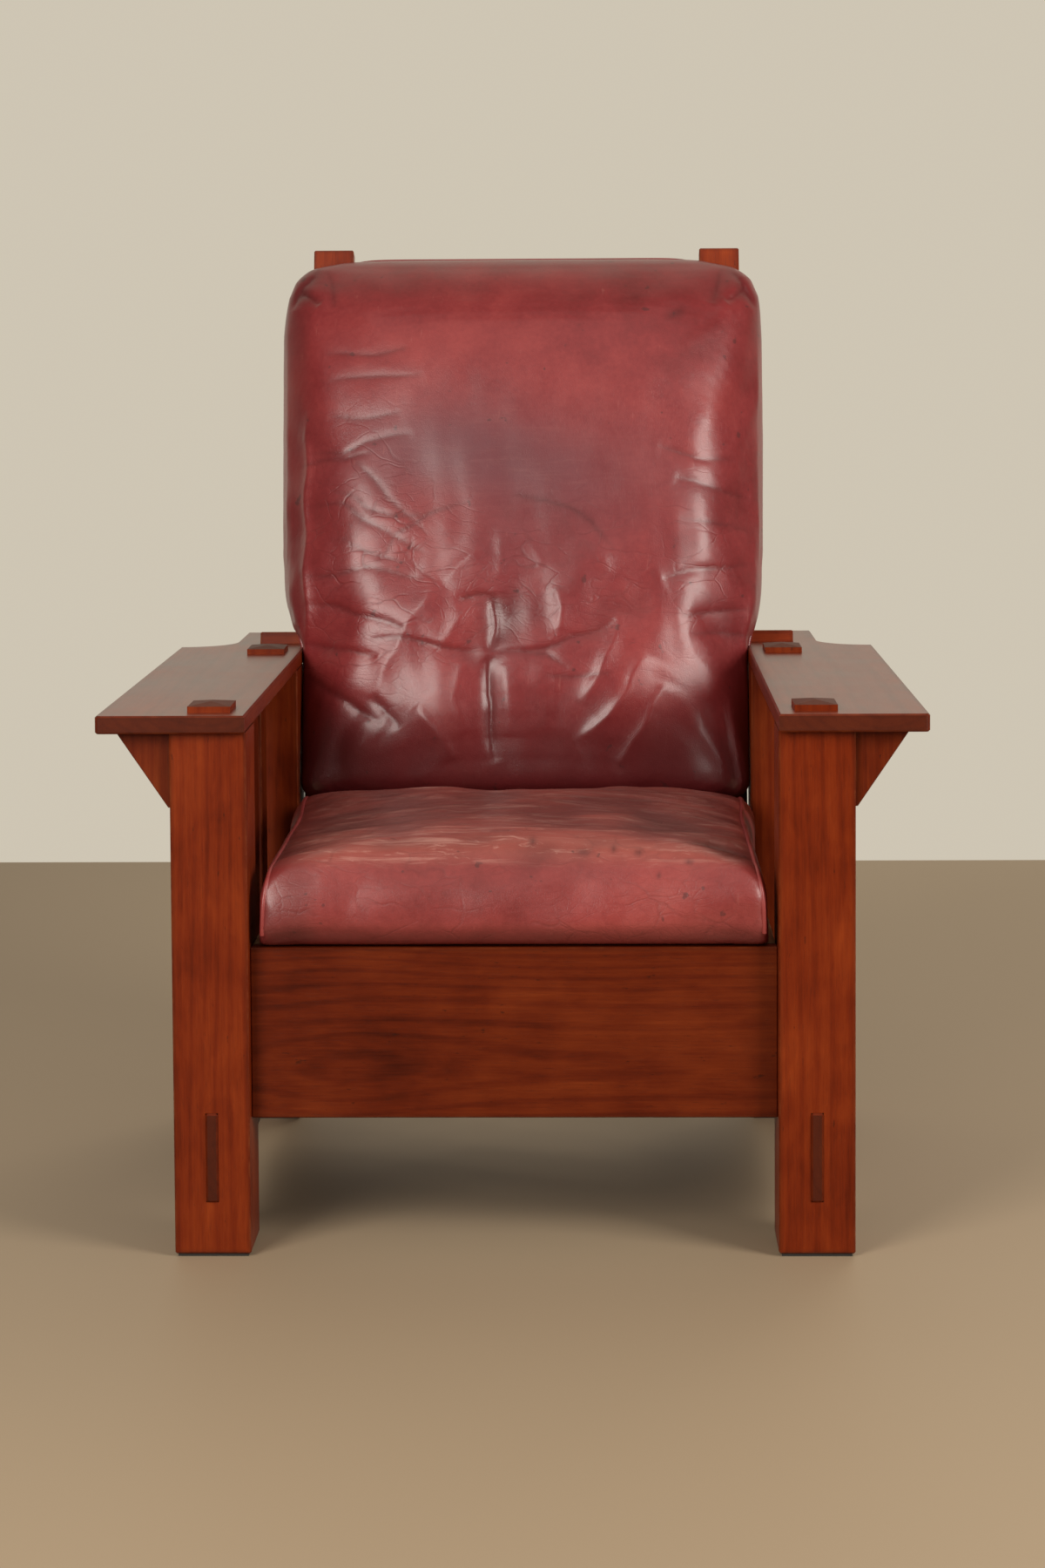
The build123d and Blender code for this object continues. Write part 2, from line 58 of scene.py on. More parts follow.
class Term:
    """One socket of a material's nodes, so that sums on it read as plain arithmetic."""

    def __init__(self, tree, socket=None):
        self.tree = tree
        self.socket = socket

    def node(self, kind, settings=None, inputs=None, output=0):
        """A new node: its settings come first, then the values or links of its sockets."""
        made = self.tree.nodes.new(kind)
        for name, value in (settings or {}).items():
            if name == "stops":
                while len(made.color_ramp.elements) < len(value):
                    made.color_ramp.elements.new(1.0)
                for element, (position, colour) in zip(made.color_ramp.elements, value):
                    element.position = position
                    element.color = (*colour, 1.0)
            else:
                setattr(made, name, value)
        for name, value in (inputs or {}).items():
            if isinstance(value, Term):
                self.tree.links.new(value.socket, made.inputs[name])
            else:
                made.inputs[name].default_value = value
        return Term(self.tree, made.outputs[output])

    def output(self, name):
        """Another output of the same node."""
        return Term(self.tree, self.socket.node.outputs[name])

    def maths(self, operation, *values):
        """A sum that has no sign of its own, worked on this value and the others given."""
        return self.node("ShaderNodeMath", {"operation": operation}, dict(enumerate((self, *values))))

    def __add__(self, other):
        return self.maths("ADD", other)

    def __sub__(self, other):
        return self.maths("SUBTRACT", other)

    def __rsub__(self, other):
        return self.node("ShaderNodeMath", {"operation": "SUBTRACT"}, {0: other, 1: self})

    def __mul__(self, other):
        return self.maths("MULTIPLY", other)

    def __truediv__(self, other):
        return self.maths("DIVIDE", other)

    def __pow__(self, other):
        return self.maths("POWER", other)

    # A sum and a product come out the same the other way round
    __radd__ = __add__
    __rmul__ = __mul__

    def noise(self, scale, detail=3.0, roughness=0.5, distortion=0.0, output=0):
        """Noise read at this vector."""
        values = {"Vector": self, "Scale": scale, "Detail": detail, "Roughness": roughness,
                  "Distortion": distortion}
        return self.node("ShaderNodeTexNoise", inputs=values, output=output)

    def stretched(self, x, y, z):
        """This vector with its parts multiplied."""
        return self.node("ShaderNodeVectorMath", {"operation": "MULTIPLY"}, {0: self, 1: (x, y, z)})

    def ramp(self, low, high):
        """A smooth step from 0 at the low value to 1 at the high one."""
        values = {"Value": self, "From Min": low, "From Max": high}
        return self.node("ShaderNodeMapRange", {"interpolation_type": "SMOOTHSTEP"}, values)

    def colours(self, *stops):
        """A colour ramp read at this value."""
        return self.node("ShaderNodeValToRGB", {"stops": stops}, {"Fac": self})

    def between(self, first, second):
        """Two colours mixed by this value."""
        first, second = [c if isinstance(c, Term) else (*c, 1.0) for c in (first, second)]
        return self.node("ShaderNodeMix", {"data_type": "RGBA"}, {0: self, 6: first, 7: second}, 2)

    def into(self, shader, socket):
        """This value led into a socket of the shader."""
        self.tree.links.new(self.socket, shader.inputs[socket])


def finish_of(name):
    """A new material, its shader and its first term."""
    material = bpy.data.materials.new(name)
    material.use_nodes = True
    return material, material.node_tree.nodes["Principled BSDF"], Term(material.node_tree)


def dressed(shader, colour, rough, height, strength, distance):
    """A shader given its colour, its roughness and the fine relief of its surface."""
    colour.into(shader, "Base Color")
    rough.into(shader, "Roughness")
    relief = {"Strength": strength, "Distance": distance, "Height": height}
    height.node("ShaderNodeBump", {}, relief).into(shader, "Normal")


def finished(piece, material):
    """The piece given one finish alone."""
    piece.data.materials.clear()
    piece.data.materials.append(material)


def leaning_box(piece, turn):
    """Lowest and highest corner of a piece in axes turned about X."""
    places = np.array([v.co for v in piece.data.vertices])
    places = places @ np.array(Matrix.Rotation(turn, 3, "X")).T
    return places.min(0), places.max(0)


def cherry(piece, grain, seed, light=1.0, pith=(0.05, 0.07), ring=0.009, figure=0.10, bow=None, turn=0.0,
           worn=0.5, gloss=0.16, polish=0.0, stained=True):
    """Cherry, stained or bare, with its grain along one axis, worn along the edges of its box. A bow, a
    place along the grain and a depth, closes the rings into the ovals of a board cut near the heart, and
    polish is the lustre that hands have left on what faces up."""
    material, shader, start = finish_of(piece.name + "_cherry")
    place = start.node("ShaderNodeTexCoord", output="Object")
    normal = place.output("Normal")
    place = start.node("ShaderNodeMapping", {}, {"Vector": place, "Rotation": (turn, 0.0, 0.0)})
    low, high = leaning_box(piece, turn)
    along = "XYZ".index(grain)
    across = [axis for axis in range(3) if axis != along]
    parts = [place.node("ShaderNodeSeparateXYZ", inputs={0: place}, output=axis) for axis in range(3)]
    # Noise drawn out along the grain, far for the fibres and less for figure and flecks
    fine = [0.035 if axis == along else 1.0 for axis in range(3)]
    slow = [0.16 if axis == along else 1.0 for axis in range(3)]
    short = [0.30 if axis == along else 1.0 for axis in range(3)]
    shift = (seed * 1.37, seed * 0.71, seed * 2.13)
    moved = start.node("ShaderNodeVectorMath", {"operation": "ADD"}, {0: place, 1: shift})
    streak = moved.stretched(*fine)
    wander = moved.stretched(*slow).noise(9.0, 2.0)
    fibre = streak.noise(520.0, 4.0, 0.62)
    band = streak.noise(75.0, 3.0, 0.55)
    blotch = moved.noise(7.5, 3.0, 0.55)
    mottle = moved.stretched(*short).noise(62.0, 4.0, 0.62, 0.4)
    # Growth rings round a pith beside the board, which wanders along the grain
    middle = [(low[axis] + high[axis]) / 2 for axis in across]
    first = parts[across[0]] - (middle[0] + pith[0]) + (wander - 0.5) * 0.03
    second = parts[across[1]] - (middle[1] + pith[1]) + (wander - 0.5) * 0.018
    if bow:
        bow_reach = 0.11
        away = (parts[along] - bow[0]) / bow_reach
        first = first + away * away / (away * away + 1) * bow[1]
        second = second + (wander - 0.5) * 0.02
    radius = (first * first + second * second) ** 0.5
    rings = (radius * (2 * pi / ring)).maths("SINE").ramp(0.1, 1.0)
    pores = streak.noise(1500.0, 2.0, 0.5).ramp(0.60, 0.72)
    gum = moved.stretched(*short).noise(170.0, 3.0, 0.6).ramp(0.67, 0.74)
    tone = (fibre - 0.5) * 0.38 + (band - 0.5) * 0.34 + (blotch - 0.5) * 0.95
    tone = tone + (mottle - 0.5) * 0.55 + 0.50 - rings * figure
    stain = ((0.080, 0.0078, 0.0012), (0.165, 0.0180, 0.0024), (0.240, 0.0330, 0.0045),
             (0.320, 0.0560, 0.0090))
    bare = ((0.25, 0.125, 0.055), (0.38, 0.215, 0.100), (0.48, 0.30, 0.155), (0.56, 0.38, 0.22))
    # light scales the tints: the wood's own tone, and painted shade where a piece is given a darker one
    tints = [[part * light for part in tint] for tint in (stain if stained else bare)]
    colour = tone.colours(*zip((0.10, 0.42, 0.72, 0.98), tints))
    colour = (pores * 0.30 + gum * 0.60).between(colour, (0.040 * light, 0.0085 * light, 0.003 * light))
    # Distance from the nearest two faces of the box, which is small only along its edges
    reach = [(parts[axis] - low[axis]).maths("MINIMUM", high[axis] - parts[axis]) for axis in range(3)]
    near = reach[0].maths("MINIMUM", reach[1])
    far = reach[0].maths("MAXIMUM", reach[1])
    edge = near.maths("MAXIMUM", far.maths("MINIMUM", reach[2]))
    edge_darkening_width = 0.0065
    wear_width = 0.0026
    rub = moved.noise(38.0, 3.0, 0.6)
    # The colour darkens towards the edges of the box
    edge_darkening = (1 - edge.ramp(0.0008, edge_darkening_width)) * 0.30
    colour = edge_darkening.between(colour, (0.040 * light, 0.0060 * light, 0.0016 * light))
    wear = (1 - edge.ramp(0.0004, wear_width)) * rub.ramp(0.42, 0.66) * (0.60 * worn)
    colour = wear.between(colour, (0.34 * light, 0.095 * light, 0.028 * light))
    # The ends of the boards, where the grain drinks up more stain
    facing = [1.0 if axis == along else 0.0 for axis in range(3)]
    facing = Matrix.Rotation(-turn, 3, "X") @ Vector(facing)
    end = start.node("ShaderNodeVectorMath", {"operation": "DOT_PRODUCT"}, {0: normal, 1: facing}, 1)
    end = end.maths("ABSOLUTE").ramp(0.75, 0.95)
    colour = (end * 0.66).between(colour, (0.046, 0.0095, 0.0035))
    rough = 0.38 + (blotch - 0.5) * 0.16 + (fibre - 0.5) * 0.10 + end * 0.12
    height = fibre * 0.6 + band * 0.5 - pores * 0.5 - gum * 0.3
    dressed(shader, colour, rough, height, 0.22, 0.0006)
    shader.inputs["Specular IOR Level"].default_value = gloss
    if polish:
        upward = place.node("ShaderNodeSeparateXYZ", inputs={0: normal}, output=2).ramp(0.6, 0.9) * polish
        upward.into(shader, "Coat Weight")
        shader.inputs["Coat Roughness"].default_value = 0.28
    finished(piece, material)


# The rear posts take a darker tint than the front ones, which is painted shade
front_light = 0.88
rear_post_painted_shade = 0.74
posts = (("front_post_left", 1.0, front_light), ("front_post_right", 2.6, front_light),
         ("rear_post_left", 4.1, rear_post_painted_shade), ("rear_post_right", 5.3, rear_post_painted_shade))
for name, seed, light in posts:
    cherry(nodes[name], "Z", seed, light=light, pith=(0.11, 0.03), ring=0.012)

# Pads under the posts
# A thin pad of dark plastic is tacked under each post,
# and keeps its end grain off the floor.


def plain_finish(name, colour, roughness, metallic=0.0, grit=1400.0):
    """One colour with a fine tooth, for pads and fittings."""
    material, shader, start = finish_of(name)
    place = start.node("ShaderNodeTexCoord", output="Object")
    speck = place.noise(grit, 3.0, 0.6)
    tint = speck.colours((0.3, [part * 0.72 for part in colour]), (0.7, [part * 1.25 for part in colour]))
    dressed(shader, tint, speck * 0.25 + (roughness - 0.12), speck, 0.3, 0.0003)
    shader.inputs["Metallic"].default_value = metallic
    return material


pad_finish = plain_finish("glide_pad", (0.022, 0.018, 0.015), 0.75)
for name in ("front_glide_left", "front_glide_right", "rear_glide_left", "rear_glide_right"):
    finished(nodes[name], pad_finish)

# Lower side stretchers and side slats
# A wide board of cherry runs low along each side, its tongues showing through both posts,
# and five thin slats are housed between it and the underside of the arm.

# Both are tinted darker than the posts, which is painted shade
for index, side in enumerate(("left", "right")):
    cherry(nodes[f"side_stretcher_{side}"], "Y", 7.2 + index, light=0.62, pith=(0.09, 0.02))
    for slat in range(1, 6):
        name = f"side_slat_{side}_{slat}"
        cherry(nodes[name], "Z", 9.0 + slat * 1.3 + index * 8, light=0.58, pith=(0.06, 0.02))

# Front apron, rear rail and seat foundation
# A plain-sawn board closes the front below the cushion and another the back. Battens
# screwed to their inner faces carry a loose frame of bare wood with slats for the cushion.

cherry(nodes["front_apron"], "X", 21.0, light=0.58, pith=(-0.062, -0.030), ring=0.0105, figure=0.13,
       bow=(-0.175, 0.016), worn=0.3)
cherry(nodes["rear_seat_rail"], "X", 23.5, light=0.62, pith=(0.07, 0.03), ring=0.011, figure=0.12,
       bow=(0.120, -0.015), worn=0.3)
inner_pieces = ["front_seat_cleat", "rear_seat_cleat", "seat_frame_front", "seat_frame_rear"]
for index, name in enumerate(inner_pieces + [f"seat_slat_{slat}" for slat in range(1, 6)]):
    cherry(nodes[name], "X", 25.0 + index * 1.7, worn=0.3, stained=False)
for index, side in enumerate(("left", "right")):
    cherry(nodes[f"seat_frame_side_{side}"], "Y", 41.0 + index, worn=0.3, stained=False)

# Corbels and arms
# A small straight bracket is glued to the outer face of each post and takes the overhang
# of the arm, a wide flat board of cherry that the posts' tenons come up through.

for index, side in enumerate(("left", "right")):
    for end, seed in (("front", 50.0), ("rear", 49.0)):
        corbel = nodes[f"{end}_corbel_{side}"]
        cherry(corbel, "Z", seed + index * 2, light=0.62, pith=(0.05, 0.03))
    arm = nodes[f"arm_{side}"]
    cherry(arm, "Y", 52.0 + index * 3, light=0.80, pith=(0.03, 0.09), ring=0.010, worn=0.35, polish=0.60)

# Back frame
# Two cherry stiles lean back from their pivots and hold six bowed rungs in mortises. The
# back turns on steel pins, with a washer between each stile and its post.

lean = radians(18)
for index, side in enumerate(("left", "right")):
    stile = nodes[f"back_stile_{side}"]
    cherry(stile, "Z", 60.0 + index * 3, light=1.15, turn=lean, pith=(0.04, 0.05), gloss=0.22)
for rung in range(1, 7):
    cherry(nodes[f"back_rung_{rung}"], "X", 66.0 + rung * 1.9, turn=lean, pith=(0.05, 0.04))
steel_finish = plain_finish("pivot_steel", (0.33, 0.32, 0.30), 0.42, metallic=1.0, grit=900.0)
for name in ("pivot_pin_left", "pivot_pin_right", "pivot_washer_left", "pivot_washer_right"):
    finished(nodes[name], steel_finish)

# Screws of the cleats
# Steel screws with slotted heads, turned in flush, hold each batten to the apron or the
# rear rail that it carries the seat frame for.


def placed(name, data):
    """A new object in the scene, with its data."""
    made = bpy.data.objects.new(name, data)
    bpy.context.scene.collection.objects.link(made)
    return made


def worked_out(piece):
    """A new mesh of a piece, as its modifiers or its bevel make it."""
    bpy.context.view_layer.update()
    evaluated = piece.evaluated_get(bpy.context.evaluated_depsgraph_get())
    return bpy.data.meshes.new_from_object(evaluated)


def applied(piece):
    """The piece with its modifiers worked into its mesh."""
    mesh = worked_out(piece)
    piece.modifiers.clear()
    piece.data = mesh
    return piece


screw_tree = bpy.data.node_groups.new("cleat_screws", "GeometryNodeTree")
screw_inputs = {"Count": "Int", "Front Start": "Vector", "Rear Start": "Vector", "Step": "Vector",
                "Head Radius": "Float", "Head Depth": "Float", "Slot": "Vector"}
for label, kind in screw_inputs.items():
    screw_tree.interface.new_socket(label, in_out="INPUT", socket_type=f"NodeSocket{kind}")
screw_tree.interface.new_socket("Geometry", in_out="OUTPUT", socket_type="NodeSocketGeometry")
given = Term(screw_tree).node("NodeGroupInput")
head = given.node("GeometryNodeMeshCylinder", {}, {
    "Vertices": 20, "Radius": given.output("Head Radius"), "Depth": given.output("Head Depth")})
notch = given.node("GeometryNodeMeshCube", {}, {"Size": given.output("Slot")})
head = given.node("GeometryNodeMeshBoolean", {"operation": "DIFFERENCE"}, {0: head, 1: notch})
spots = Term(screw_tree).node("GeometryNodeJoinGeometry")
for row_start in ("Front Start", "Rear Start"):
    row_inputs = {"Count": given.output("Count"), "Start Location": given.output(row_start),
                  "Offset": given.output("Step")}
    row = given.node("GeometryNodeMeshLine", {}, row_inputs)
    screw_tree.links.new(row.socket, spots.socket.node.inputs[0])
turn_head = {"Points": spots, "Instance": head, "Rotation": (pi / 2, 0.0, 0.0)}
screws = given.node("GeometryNodeInstanceOnPoints", {}, turn_head)
screws = given.node("GeometryNodeRealizeInstances", {}, {0: screws})
screws = given.node("GeometryNodeSetMaterial", {}, {"Geometry": screws, "Material": steel_finish})
screw_tree.links.new(screws.socket, screw_tree.nodes.new("NodeGroupOutput").inputs[0])
cleat = [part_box("front_seat_cleat"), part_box("rear_seat_cleat")]
cleat_middle = (cleat[0][0].z + cleat[0][1].z) / 2
screw_piece = placed("cleat_screws", bpy.data.meshes.new("cleat_screws"))
step = screw_piece.modifiers.new("screws", "NODES")
step.node_group = screw_tree
first_screw = -0.23
screw_pitch = 0.115
proud = 0.0001
wanted = {"Count": 5, "Front Start": (first_screw, cleat[0][1].y + proud, cleat_middle),
          "Rear Start": (first_screw, cleat[1][0].y - proud, cleat_middle), "Step": (screw_pitch, 0.0, 0.0),
          "Head Radius": 0.0042, "Head Depth": 0.0012, "Slot": (0.0100, 0.0011, 0.0030)}
for socket in screw_tree.interface.items_tree:
    if socket.in_out == "INPUT":
        step[socket.identifier] = wanted[socket.name]
applied(screw_piece)
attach(screw_piece, "frame")

# Support bar
# A loose square bar of cherry lies in the foremost pair of notches in the arms' tails, and
# the back leans on it.

cherry(nodes["support_bar"], "X", 81.0, light=1.1, turn=lean, pith=(0.05, 0.04))

# Seat cushion
# A stuffed cushion of oxblood hide. Its top panel runs over the front edge without a seam,
# and a welt joins it to a gusset at each side.


def closed_form(name, loops):
    """A closed mesh through loops of points of equal count, its two ends capped."""
    shape = bmesh.new()
    rows = [[shape.verts.new(point) for point in loop] for loop in loops]
    count = len(rows[0])
    for low, high in zip(rows, rows[1:]):
        for index in range(count):
            follow = (index + 1) % count
            shape.faces.new((low[index], low[follow], high[follow], high[index]))
    shape.faces.new(rows[0])
    shape.faces.new(rows[-1])
    bmesh.ops.recalc_face_normals(shape, faces=shape.faces)
    mesh = bpy.data.meshes.new(name)
    shape.to_mesh(mesh)
    shape.free()
    return placed(name, mesh)


def smooth_faced(mesh):
    """The faces of a mesh set to take the light smoothly."""
    mesh.polygons.foreach_set("use_smooth", [True] * len(mesh.polygons))


def points_of(piece):
    """The vertices of a piece as an array."""
    places = np.empty(len(piece.data.vertices) * 3, np.float32)
    piece.data.vertices.foreach_get("co", places)
    return places.reshape(-1, 3).astype(float)


def directions_of(piece):
    """The vertex normals of a piece as an array."""
    directions = np.empty(len(piece.data.vertices) * 3, np.float32)
    piece.data.vertex_normals.foreach_get("vector", directions)
    return directions.reshape(-1, 3).astype(float)


def move_points(piece, places):
    """The vertices of a piece put at new places."""
    piece.data.vertices.foreach_set("co", places.astype(np.float32).ravel())
    piece.data.update()


def covered(piece, size):
    """The piece covered again with even squares of a size."""
    step = piece.modifiers.new("squares", "REMESH")
    step.mode = "VOXEL"
    step.voxel_size = size
    even = piece.modifiers.new("even", "SMOOTH")
    even.factor = 0.5
    even.iterations = 5
    return applied(piece)


def stuffed(piece, held, cap, slack, calm):
    """The piece blown up as a cover by its filling, its held shares staying and the rest moving up to
    a cap, with the puckers smoothed out where calm is 1."""
    before = points_of(piece)
    group = piece.vertex_groups.new(name="held")
    levels = 10
    for level in range(1, levels + 1):
        chosen = np.nonzero(np.round(held * levels).astype(int) == level)[0]
        group.add([int(index) for index in chosen], level / levels, "REPLACE")
    step = piece.modifiers.new("filling", "CLOTH")
    cloth = step.settings
    cloth.quality = 6
    cloth.mass = 0.35
    cloth.tension_stiffness = 18
    cloth.compression_stiffness = 18
    cloth.shear_stiffness = 6
    cloth.bending_stiffness = 0.8
    cloth.use_pressure = True
    cloth.uniform_pressure_force = 3.5
    cloth.vertex_group_mass = "held"
    cloth.pin_stiffness = 0.8
    cloth.shrink_min = -slack
    cloth.effector_weights.gravity = 0.0
    step.collision_settings.use_collision = False
    moments = 20
    step.point_cache.frame_end = moments
    for moment in range(1, moments + 1):
        bpy.context.scene.frame_set(moment)
    applied(piece)
    bpy.context.scene.frame_set(1)
    piece.vertex_groups.clear()
    move = points_of(piece) - before
    ends = np.empty(len(piece.data.edges) * 2, np.int32)
    piece.data.edges.foreach_get("vertices", ends)
    ends = ends.reshape(-1, 2)
    count = np.bincount(ends.ravel(), minlength=len(move))[:, None]
    # Three rounds of smoothing everywhere, and the rest only where the cover is calm
    everywhere = 3
    for turn in range(24):
        around = np.zeros_like(move)
        np.add.at(around, ends[:, 0], move[ends[:, 1]])
        np.add.at(around, ends[:, 1], move[ends[:, 0]])
        move += (around / count - move) * (0.6 if turn < everywhere else 0.6 * calm)
    length = np.linalg.norm(move, axis=1, keepdims=True) + 1e-9
    move_points(piece, before + move * (cap * np.tanh(length / cap) / length))
    return piece


def divided(piece):
    """The piece with one subdivision, smooth to the light."""
    step = piece.modifiers.new("smooth", "SUBSURF")
    step.levels = 1
    step.render_levels = 1
    applied(piece)
    smooth_faced(piece.data)
    return piece


def rounded(share, power):
    """Height of a superellipse at a share of its half-width."""
    return max(0.0, 1 - abs(share) ** power) ** 0.5


def roll(gap, radius, power=2.0, start=0.0006):
    """Share of the full height at a gap from an edge that is rolled over a radius."""
    return rounded(1 - min(1.0, (gap + start) / radius), power)


def along_spoke(angle, squareness):
    """Share of the half-width that a spoke of a squared oval reaches."""
    return np.sign(cos(angle)) * abs(cos(angle)) ** squareness


def step_up(values, low, high):
    """A smooth step from 0 to 1."""
    share = np.clip((values - low) / (high - low), 0, 1)
    return share * share * (3 - 2 * share)


def blob(flat, middle, reach, turn=0.0):
    """A soft round patch on flat places: its middle, its two reaches and how far it is turned."""
    off = flat - np.array(middle)
    across = off[:, 0] * cos(turn) + off[:, 1] * sin(turn)
    along = off[:, 1] * cos(turn) - off[:, 0] * sin(turn)
    return np.exp(-(across / reach[0]) ** 2 - (along / reach[1]) ** 2)


def along_line(flat, line):
    """How far flat places are from a bent line, on which side, and what share along it."""
    line = np.array(line, float)
    lengths = np.linalg.norm(line[1:] - line[:-1], axis=1)
    gap = np.full(len(flat), 9.0)
    side = np.zeros(len(flat))
    share = np.zeros(len(flat))
    run = 0.0
    for start, end, length in zip(line, line[1:], lengths):
        way = (end - start) / length
        ahead = np.clip((flat - start) @ way, 0, length)
        off = flat - start - ahead[:, None] * way
        distance = np.linalg.norm(off, axis=1)
        nearer = distance < gap
        gap[nearer] = distance[nearer]
        side[nearer] = np.sign(way[0] * off[:, 1] - way[1] * off[:, 0])[nearer]
        share[nearer] = ((run + ahead) / lengths.sum())[nearer]
        run += length
    return gap, side, share


def fold(flat, line, depth, left, right):
    """Heights of a fold in the hide: a pinched groove along a line, or a ridge where depth is negative,
    easing off over its own width to the left and to the right of the line."""
    gap, side, share = along_line(flat, line)
    fade = np.clip(5 * share * (1 - share), 0, 1) ** 0.6
    blunt = 0.0012
    pinch = (gap * gap + blunt ** 2) ** 0.5 - blunt
    return -depth * fade * np.exp(-pinch / np.where(side > 0, left, right))


def swell(flat, wave, seed):
    """Slow uneven heights between about -1 and 1, waves of one length crossing at many angles."""
    chance = np.random.default_rng(seed)
    total = np.zeros(len(flat))
    golden_angle = 2.399963
    for turn in np.arange(14) * golden_angle:
        way = np.array((cos(turn), sin(turn))) * 2 * pi / (wave * chance.uniform(0.75, 1.35))
        total += np.sin(flat @ way + chance.uniform(0, 2 * pi))
    return total / 4.0


def painted(piece, name, values):
    """Values kept with the vertices, for the finish to read."""
    layer = piece.data.attributes.new(name, "FLOAT", "POINT")
    layer.data.foreach_set("value", np.clip(values, 0, 1).astype(np.float32))


def welt(name, path, radius):
    """A covered cord sewn along a seam, from a path that closes or ends."""
    closed = bool(np.linalg.norm(np.array(path[0]) - np.array(path[-1])) < 0.002)
    if closed:
        path = path[:-1]
    curve = bpy.data.curves.new(name, "CURVE")
    curve.dimensions = "3D"
    curve.bevel_depth = radius
    curve.bevel_resolution = 3
    curve.use_fill_caps = not closed
    line = curve.splines.new("POLY")
    line.points.add(len(path) - 1)
    for point, place in zip(line.points, path):
        point.co = (*place, 1.0)
    line.use_cyclic_u = closed
    drawn = placed(name + "_line", curve)
    mesh = worked_out(drawn)
    bpy.data.objects.remove(drawn)
    smooth_faced(mesh)
    return placed(name, mesh)


apron_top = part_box("front_apron")[1].z
arm_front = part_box("arm_left")[0].y
# Sizes of the seat cushion: back from the arms' front ends, up from the apron, and at each
# station back its height at the sides and in the middle
seat_start = 0.017
seat_end = 0.634
seat_half = 0.266
seat_waist = 0.050
seat_foot = 0.0015
seat_steps = 70
seat_spokes = 110
seat_heights = ((0.02, 0.090, 0.092), (0.14, 0.091, 0.093), (0.34, 0.090, 0.093), (0.50, 0.088, 0.091),
                (0.55, 0.086, 0.087), (0.58, 0.081, 0.080), (0.61, 0.072, 0.069), (0.634, 0.062, 0.060))
stations = np.array(seat_heights)
seat_loops = []
for step in range(seat_steps + 1):
    depth = seat_start + (seat_end - seat_start) * (1 - cos(pi * step / seat_steps)) / 2
    front_gap = depth - seat_start
    rear_gap = seat_end - depth
    end_gap = min(front_gap, rear_gap)
    top_roll = min(roll(front_gap, 0.040, 2.4), roll(rear_gap, 0.030))
    foot_roll = roll(end_gap, 0.009)
    half = seat_half - 0.010 * (1 - roll(end_gap, 0.014))
    side = np.interp(depth, stations[:, 0], stations[:, 1])
    middle = np.interp(depth, stations[:, 0], stations[:, 2])
    loop = []
    for spoke in range(seat_spokes):
        angle = 2 * pi * spoke / seat_spokes
        across = along_spoke(angle, 0.36)
        full = side + (middle - side) * (1 - across * across)
        if sin(angle) >= 0:
            height = seat_waist + (full - seat_waist) * top_roll * rounded(across, 26.0)
        else:
            height = seat_waist - (seat_waist - seat_foot) * foot_roll * rounded(across, 30.0)
        loop.append((across * half, arm_front + depth, apron_top + height))
    seat_loops.append(loop)
seat = closed_form("seat_cushion_leather", seat_loops)


def seat_places(places):
    """Places across the seat, back from the arms' front ends and up from the apron."""
    return places[:, 0], places[:, 1] - arm_front, places[:, 2] - apron_top


covered(seat, 0.0068)
across, depth, rise = seat_places(points_of(seat))
held = np.maximum(1 - step_up(rise, 0.004, 0.030), step_up(depth, 0.585, 0.625))
held = np.maximum(held, step_up(np.abs(across), 0.246, 0.258) * step_up(rise, 0.050, 0.070))
seat_swell_cap = 0.022
seat_slack = 0.012
stuffed(seat, held, seat_swell_cap, seat_slack, np.full((len(held), 1), 0.5))
divided(seat)
places = points_of(seat)
facing = directions_of(seat)
# The cover keeps the squared lower corners it was sewn with, and is wider at the rear
corner_start = 0.225
corner_size = 0.045
across, depth, rise = seat_places(places)
side_share = np.clip((np.abs(across) - corner_start) / corner_size, 0, 1.3)
foot_share = np.clip((corner_size - rise) / corner_size, 0, 1.3)
larger_share = np.maximum(np.maximum(side_share, foot_share), 0.02)
squarer = np.maximum((np.hypot(side_share, foot_share) / larger_share) ** 0.8, 1)
pushed = np.sign(across) * (corner_start + corner_size * side_share * squarer)
lowered = apron_top + corner_size - corner_size * foot_share * squarer
places[:, 0] = np.where(side_share > 0, pushed, places[:, 0])
places[:, 2] = np.where(foot_share > 0, lowered, places[:, 2])
places[:, 0] *= 1 + 0.044 * step_up(depth, 0.36, 0.54)
flat = np.stack(seat_places(places)[:2], 1)
lift = np.zeros(len(places))
# Soft hollows where someone sits, and pulls that run out to the front corners
lift -= 0.0030 * blob(flat, (-0.10, 0.30), (0.13, 0.15)) + 0.0026 * blob(flat, (0.11, 0.28), (0.12, 0.16))
lift += 0.0011 * swell(flat, 0.120, 3) + 0.0004 * swell(flat * (1.0, 1.8), 0.050, 4)
for line, deep, left, right in (
    (((-0.262, 0.070), (-0.232, 0.094), (-0.190, 0.108)), 0.0022, 0.008, 0.014),
    (((-0.258, 0.110), (-0.225, 0.122), (-0.195, 0.126)), 0.0012, 0.008, 0.010),
    (((0.262, 0.076), (0.236, 0.094), (0.200, 0.104)), 0.0022, 0.014, 0.008),
    (((0.258, 0.116), (0.230, 0.124), (0.205, 0.126)), 0.0012, 0.010, 0.008),
    (((-0.215, 0.210), (-0.150, 0.235), (-0.080, 0.228), (-0.020, 0.240)), 0.0010, 0.009, 0.013),
    (((0.030, 0.190), (0.095, 0.205), (0.150, 0.198), (0.215, 0.215)), 0.0011, 0.009, 0.013),
    (((-0.120, 0.330), (-0.050, 0.340), (0.010, 0.332)), 0.0009, 0.008, 0.012),
    (((0.040, 0.400), (0.110, 0.385), (0.190, 0.392)), 0.0010, 0.009, 0.012),
    (((-0.200, 0.420), (-0.130, 0.405), (-0.060, 0.412)), 0.0010, 0.009, 0.012),
):
    lift += fold(flat, line, deep, left, right)
places += facing * (lift * np.clip(facing[:, 2], 0, 1) ** 2)[:, None]
